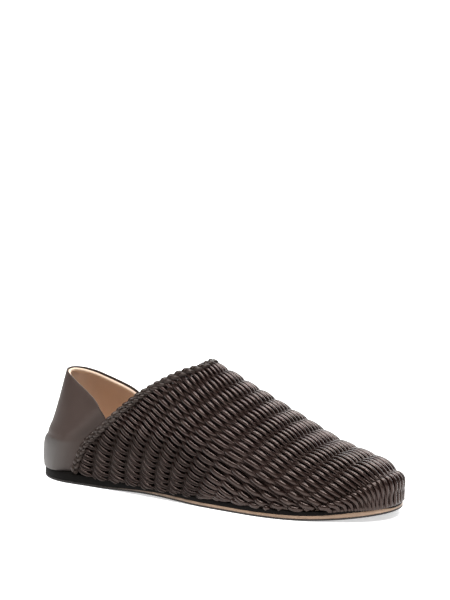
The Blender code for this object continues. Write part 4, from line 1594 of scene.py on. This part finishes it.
@dataclass
class HeelCounter:
    """Fold-down counter: smooth leather outside, tan lining inside and a rolled edge along the collar."""

    last: LastForm
    sweep: CordSweep
    finishes: Finishes
    tuck: float = 12.0
    drop: float = 4.9
    drop_run: float = 14.0
    drop_behind: float = 5.0
    hide: float = 1.1
    hide_points: Tuple[int, int, int] = (44, 7, 20)
    lining_in: float = 1.15
    lining_out: float = 2.05
    lining_foot: float = 0.5
    lining_lap: float = 0.3
    lining_points: Tuple[int, int] = (20, 36)
    roll_radius: float = 1.25
    roll_drop: float = 1.9
    roll_sink: float = 0.85
    roll_flatten: float = 0.9
    roll_angle: float = 1.35
    roll_points: int = 150
    roll_sides: int = 10
    crease_height: float = 27.5
    crease_depth: float = 0.6
    crease_run: float = 1.8
    crease_fade: Tuple[float, float] = (0.35, 1.25)
    cup_rise: float = 0.5
    cup_below: float = 5.0
    cup_run: float = 3.6
    foot_run: float = 50.0
    rim_range: Tuple[float, float] = (12.0, 70.0)
    rim_steps: int = 40
    steepest: float = 1.5
    probe_angle: float = 0.02
    probe_height: float = 0.3
    stations: int = 61

    def along(self, theta: np.ndarray, z: np.ndarray) -> np.ndarray:
        """Stations of the outer face at angles round the heel and heights."""
        back = self.last.back(z)
        return back + (1 - np.cos(theta)) * (self.last.edge(z) + self.tuck - back)

    def spot(self, theta: np.ndarray, z: np.ndarray) -> np.ndarray:
        """Points of the outer face.

        Args:
            theta: Angles round the heel, from -90 to 90 degrees in radians.
            z: Heights.

        Returns:
            The points, in millimetres.
        """
        last = self.last
        theta, z = np.broadcast_arrays(theta, z)
        x = self.along(theta, z)
        drop = self.drop * smooth(x - last.edge(z) + self.drop_behind, -self.drop_run, 0.0)
        wide = np.where(theta < 0, last.half_width(x, z, Side.OUTER), last.half_width(x, z, Side.INNER))
        return np.stack([x, last.axis(x) + np.sign(theta) * np.maximum(wide - drop, 0.0), z], -1)

    def out(self, theta: np.ndarray, z: np.ndarray) -> np.ndarray:
        """Outward directions of the face.

        Args:
            theta: Angles round the heel.
            z: Heights.

        Returns:
            The directions, of length 1.
        """
        theta = np.clip(theta, -self.steepest, self.steepest)
        around = self.spot(theta + self.probe_angle, z) - self.spot(theta - self.probe_angle, z)
        up = self.spot(theta, z + self.probe_height) - self.spot(theta, z - self.probe_height)
        return unit(np.cross(around, up)) * -1.0

    def inset(self, theta: np.ndarray, z: np.ndarray, t: np.ndarray) -> np.ndarray:
        """Points at a depth under the outer face, with the fold crease pressed in.

        Args:
            theta: Angles round the heel.
            z: Heights.
            t: Depths.

        Returns:
            The points, in millimetres.
        """
        fade = 1 - smooth(np.abs(theta), *self.crease_fade)
        press = self.crease_depth * bell(z, self.crease_height, self.crease_run)
        press = press - self.cup_rise * bell(z, self.crease_height - self.cup_below, self.cup_run)
        return self.spot(theta, z) - self.out(theta, z) * (t + press * fade)[..., None]

    def foot(self, theta: np.ndarray) -> np.ndarray:
        """Heights of the counter's foot."""
        return self.last.feather((1 - np.cos(theta)) * self.foot_run) + self.last.seat_gap

    def rim(self, theta: np.ndarray) -> np.ndarray:
        """Heights of the collar.

        Args:
            theta: Angles round the heel.

        Returns:
            The heights.
        """
        low, high = (np.full(np.shape(theta), bound) for bound in self.rim_range)
        for _ in range(self.rim_steps):
            z = (low + high) / 2
            below = self.last.rim(self.along(theta, z)) > z
            low, high = np.where(below, z, low), np.where(below, high, z)
        return low

    def shell(self, name: str, profile: Callable[[float, float], List[Tuple[float, float]]],
              finish: bpy.types.Material) -> bpy.types.Object:
        """Closed wall from a profile that is carried round the heel.

        Args:
            name: Piece name.
            profile: Height and depth of each point of the wall's section, from foot and rim heights.
            finish: Material.

        Returns:
            The piece.
        """
        angles = np.linspace(-math.pi / 2, math.pi / 2, 2 * self.stations - 1)
        cuts = np.array([profile(f, r) for f, r in zip(self.foot(angles), self.rim(angles))])
        rows = self.inset(angles[:, None], cuts[:, :, 0], cuts[:, :, 1])
        count = rows.shape[1]
        faces = loops(len(rows), count, True)
        faces.append(list(range(count)))
        faces.append([len(rows) * count - 1 - i for i in range(count)])
        return solid(name, rows.reshape(-1, 3), faces, finish, self.last)

    def hide_profile(self, foot: float, rim: float) -> List[Tuple[float, float]]:
        """Section of the outer leather, with a rounded upper edge.

        Args:
            foot: Height of the counter's foot.
            rim: Height of the collar.

        Returns:
            Height and depth of each point.
        """
        r = self.hide / 2
        outside, over, inside = self.hide_points
        turns = np.linspace(0, math.pi, over)[1:-1]
        wall = [(z, 0.0) for z in np.linspace(foot, rim - r, outside)]
        cap = [(rim - r + r * math.sin(a), r - r * math.cos(a)) for a in turns]
        inner = [(z, self.hide) for z in np.linspace(rim - r, foot, inside)]
        return wall + cap + inner

    def lining_profile(self, foot: float, rim: float) -> List[Tuple[float, float]]:
        """Section of the lining.

        Args:
            foot: Height of the counter's foot.
            rim: Height of the collar.

        Returns:
            Height and depth of each point.
        """
        low, top = foot + self.lining_foot, rim - self.roll_drop + self.lining_lap
        outer = [(z, self.lining_in) for z in np.linspace(low, top, self.lining_points[0])]
        inner = [(z, self.lining_out) for z in np.linspace(top, low, self.lining_points[1])]
        return outer + inner

    def roll(self) -> CordRun:
        """Rolled edge of the lining just below the collar.

        Returns:
            The roll.
        """
        angles = np.linspace(-self.roll_angle, self.roll_angle, self.roll_points)
        full = np.full(len(angles), self.roll_radius)
        height = self.rim(angles) - self.roll_drop
        centre = self.inset(angles, height, self.hide + full * self.roll_sink)
        lift = self.out(angles, height)
        return CordRun(centre, lift, full, full * self.roll_flatten, full * 0.0)

    def build(self, report: Report) -> None:
        """Makes leather, lining and rolled edge.

        Args:
            report: Takes each finished piece.
        """
        finishes = self.finishes
        hide = self.shell("counter_hide", self.hide_profile, finishes.counter)
        report.add(hide, Slot.COUNTER, "heel_counter")
        report.add(self.shell("counter_lining", self.lining_profile, finishes.lining), Slot.SOCK)
        roll = self.sweep.build("collar_roll", [self.roll()], self.roll_sides, finishes.roll, self.last)
        report.add(roll, Slot.SOCK)


@dataclass
class LayeredSole:
    """Sock, midsole, leather outsole and thin rubber tread."""

    last: LastForm
    finishes: Finishes
    rubber: float = 1.2
    leather_along: Tuple[float, ...] = (40.0, 66.0, 94.0, 124.0, 215.0, 241.0, 250.0, 256.8)
    leather_thick: Tuple[float, ...] = (0.3, 0.4, 0.9, 1.6, 1.9, 2.6, 2.6, 0.6)
    sock: float = 1.8
    sock_heel: float = 2.6
    sock_waist: float = 8.0
    sock_fore: float = 5.0
    sock_widens: Tuple[float, float] = (14.0, 40.0)
    sock_narrows: Tuple[float, float] = (62.0, 90.0)
    tread_edge: Tuple[Tuple[float, float], ...] = ((0.5, 0.0), (0.12, 0.25), (0.0, 0.6))
    hide_foot: Tuple[Tuple[float, float], ...] = ((0.12, 0.0), (0.0, 0.15))
    hide_head: Tuple[Tuple[float, float], ...] = ((0.0, -0.15), (0.12, 0.0))
    mid_foot: Tuple[Tuple[float, float], ...] = ((0.1, 0.0), (0.0, 0.15))
    mid_head: Tuple[Tuple[float, float], ...] = ((0.0, -0.5), (0.12, -0.2), (0.45, 0.0))
    sock_head: Tuple[Tuple[float, float], ...] = ((0.0, -0.6), (0.15, -0.2), (0.6, 0.0))
    layer_gap: float = 0.05
    count: int = 120
    columns: int = 9

    def leather(self, x: np.ndarray) -> np.ndarray:
        """Thickness of the leather outsole."""
        return Table(self.leather_along, self.leather_thick)(x)

    def sock_inset(self, x: np.ndarray) -> np.ndarray:
        """How far the sock's edge lies inside the upper's outline."""
        front = self.sock_waist - (self.sock_waist - self.sock_fore) * smooth(x, *self.sock_narrows)
        return self.sock_heel + (front - self.sock_heel) * smooth(x, *self.sock_widens)

    @staticmethod
    def edge(level: Level, steps: Sequence[Tuple[float, float]]) -> List[Tuple[float, Level]]:
        """Rings that round off an edge, from the inset and the rise of each step at a level."""
        return [(inset, lambda x, rise=rise: level(x) + rise) for inset, rise in steps]

    def plate(self, name: str, inset: Level, rings: Sequence[Tuple[float, Level]],
              finish: bpy.types.Material) -> bpy.types.Object:
        """One layer as a stack of rings with closed faces above and below.

        Args:
            name: Piece name.
            inset: Edge of the layer inside the upper's outline.
            rings: Further inset and height of each ring, from below upwards.
            finish: Material.

        Returns:
            The piece.
        """
        made = []
        for more, level in rings:
            pair = self.last.outline(lambda x, more=more: inset(x) + more, self.count)
            made.append([np.column_stack([side, level(side[:, 0])]) for side in pair])
        low, high = made[0], made[-1]
        across = np.linspace(0, 1, self.columns)[1:-1]
        rows = []
        for i in range(self.count):
            row = [ring[0][i] for ring in made]
            row += [self.between(high[0][i], high[1][i], t, rings[-1][1]) for t in across]
            row += [ring[1][i] for ring in made[::-1]]
            row += [self.between(low[1][i], low[0][i], t, rings[0][1]) for t in across]
            rows.append(np.array(row))
        faces = loops(self.count, len(rows[0]), True)
        return solid(name, np.concatenate(rows), faces, finish, self.last)

    @staticmethod
    def between(a: np.ndarray, b: np.ndarray, t: float, level: Level) -> np.ndarray:
        """Point between two edge points, at the layer's own height."""
        p = a + (b - a) * t
        return np.array([p[0], p[1], float(level(p[0]))])

    def build(self, report: Report) -> None:
        """Makes the four layers.

        Args:
            report: Takes each finished piece.
        """
        last, finishes, gap = self.last, self.finishes, self.layer_gap
        tread_top = lambda x: last.underside(x) + self.rubber
        hide_low = lambda x: tread_top(x) + gap
        hide_top = lambda x: hide_low(x) + self.leather(x)
        mid_low = lambda x: hide_top(x) + gap
        sock_low = lambda x: last.feather(x) + gap
        sock_top = lambda x: sock_low(x) + self.sock
        tread = self.edge(last.underside, self.tread_edge) + [(0.0, tread_top)]
        hide = self.edge(hide_low, self.hide_foot) + self.edge(hide_top, self.hide_head)
        middle = self.edge(mid_low, self.mid_foot) + self.edge(last.feather, self.mid_head)
        sock = [(0.0, sock_low)] + self.edge(sock_top, self.sock_head)
        layers = (
            ("tread", last.sole_inset, tread, finishes.tread, Slot.TREAD, "rubber_sole"),
            ("outsole_edge", last.sole_inset, hide, finishes.outsole, Slot.OUTSOLE, "outsole_leather"),
            ("midsole_edge", last.sole_inset, middle, finishes.midsole, Slot.MIDSOLE, "midsole"),
            ("sock", self.sock_inset, sock, finishes.sock, Slot.SOCK, "insole_sock"),
        )
        for name, inset, rings, finish, slot, node in layers:
            report.add(self.plate(name, inset, rings, finish), slot, node)


@dataclass(frozen=True)
class SoftBox:
    """Very large soft light far away: the way it hangs, the angle it spans in degrees, and its strength."""

    name: str
    towards: Tuple[float, float, float]
    width: float
    strength: float


@dataclass
class Studio:
    """Pale floor, soft light and the camera.

    Lengths are metres, apart from target and sensor in millimetres, and angles are degrees. The middle is the
    target's place in the frame, in pixels.
    """

    last: LastForm
    azimuth: float = 32.0
    elevation: float = 13.19
    distance: float = 1.9
    focal_pixels: float = 3033.3
    middle: Tuple[float, float] = (220.71, 438.27)
    frame_size: Tuple[int, int] = (450, 600)
    target: Tuple[float, float, float] = (131.0, 0.0, 35.0)
    sensor: float = 36.0
    clip: Tuple[float, float] = (0.05, 60.0)
    floor_reach: float = 9.0
    floor_grey: float = 0.9
    floor_rough: float = 0.9
    floor_specular: float = 0.1
    floor_glow: float = 0.6
    surround_glow: float = 0.1
    boxes: Tuple[SoftBox, ...] = (
        SoftBox("strip_left", (-0.3, -0.3, 0.92), 18.0, 0.88),
        SoftBox("strip_middle", (0.02, -0.3, 0.95), 18.0, 1.45),
        SoftBox("strip_right", (0.34, -0.3, 0.9), 18.0, 1.6),
        SoftBox("top_box", (0.05, 0.33, 0.94), 28.0, 2.0),
        SoftBox("back_wall", (-0.12, 0.88, 0.45), 60.0, 2.5),
        SoftBox("front_fill", (0.2, -0.8, 0.55), 70.0, 0.2),
    )

    def camera(self) -> None:
        """Camera at the photograph's angle, turned so that the target falls at its place in the frame."""
        a, e = math.radians(self.azimuth), math.radians(self.elevation)
        right = Vector((math.cos(a), math.sin(a), 0.0))
        back = Vector((math.sin(a) * math.cos(e), -math.cos(a) * math.cos(e), math.sin(e)))
        up = back.cross(right)
        data = bpy.data.cameras.new("camera")
        data.sensor_width = self.sensor
        data.lens = self.focal_pixels * data.sensor_width / max(self.frame_size)
        data.clip_start, data.clip_end = self.clip
        cam = bpy.data.objects.new("camera", data)
        cam.location = Vector(self.last.place(np.array(self.target))) + back * self.distance
        aside = self.frame_size[0] / 2 - self.middle[0]
        above = self.middle[1] - self.frame_size[1] / 2
        look = right * aside + up * above - back * self.focal_pixels
        cam.rotation_mode = "QUATERNION"
        cam.rotation_quaternion = look.to_track_quat("-Z", "Y")
        bpy.context.scene.collection.objects.link(cam)
        bpy.context.scene.camera = cam

    def floor(self) -> None:
        """Wide pale floor that glows a little, so that shadows on it stay soft."""
        r = self.floor_reach
        mesh = bpy.data.meshes.new("floor")
        mesh.from_pydata([(-r, -r, 0.0), (r, -r, 0.0), (r, r, 0.0), (-r, r, 0.0)], [], [(0, 1, 2, 3)])
        material = bpy.data.materials.new("floor_paper")
        material.use_nodes = True
        shader = material.node_tree.nodes["Principled BSDF"]
        shader.inputs["Base Color"].default_value = (*[self.floor_grey] * 3, 1.0)
        shader.inputs["Roughness"].default_value = self.floor_rough
        shader.inputs["Specular IOR Level"].default_value = self.floor_specular
        shader.inputs["Emission Color"].default_value = (1.0, 1.0, 1.0, 1.0)
        shader.inputs["Emission Strength"].default_value = self.floor_glow
        mesh.materials.append(material)
        floor = bpy.data.objects.new("floor", mesh)
        bpy.context.scene.collection.objects.link(floor)

    @staticmethod
    def hang(box: SoftBox) -> None:
        """Hangs one soft box.

        Args:
            box: The light.
        """
        data = bpy.data.lights.new(box.name, "SUN")
        data.angle = math.radians(box.width)
        data.energy = box.strength
        lamp = bpy.data.objects.new(box.name, data)
        lamp.rotation_mode = "QUATERNION"
        lamp.rotation_quaternion = (-Vector(box.towards)).to_track_quat("-Z", "Y")
        bpy.context.scene.collection.objects.link(lamp)

    def build(self) -> None:
        """Makes floor, lights, surroundings and camera."""
        self.floor()
        for box in self.boxes:
            self.hang(box)
        world = bpy.data.worlds.new("surroundings")
        world.use_nodes = True
        surround = world.node_tree.nodes["Background"]
        surround.inputs["Color"].default_value = (1.0, 1.0, 1.0, 1.0)
        surround.inputs["Strength"].default_value = self.surround_glow
        bpy.context.scene.world = world
        bpy.context.scene.view_settings.view_transform = "Standard"
        self.camera()


def main() -> None:
    """Builds every sub-assembly in order."""
    logging.basicConfig(level=logging.INFO, format="%(name)s %(message)s")
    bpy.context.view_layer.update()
    report = Report()
    last = LastForm()
    finishes = Finishes()
    sweep = CordSweep()
    hoops = HoopField(last)
    Studio(last).build()
    LayeredSole(last, finishes).build(report)
    HeelCounter(last, sweep, finishes).build(report)
    WovenVamp(hoops, sweep, finishes).build(report)
    ToplinePlait(hoops, sweep, finishes).build(report)
    LOG.info("%d triangles in all", report.triangles)


if __name__ == "__main__":
    main()
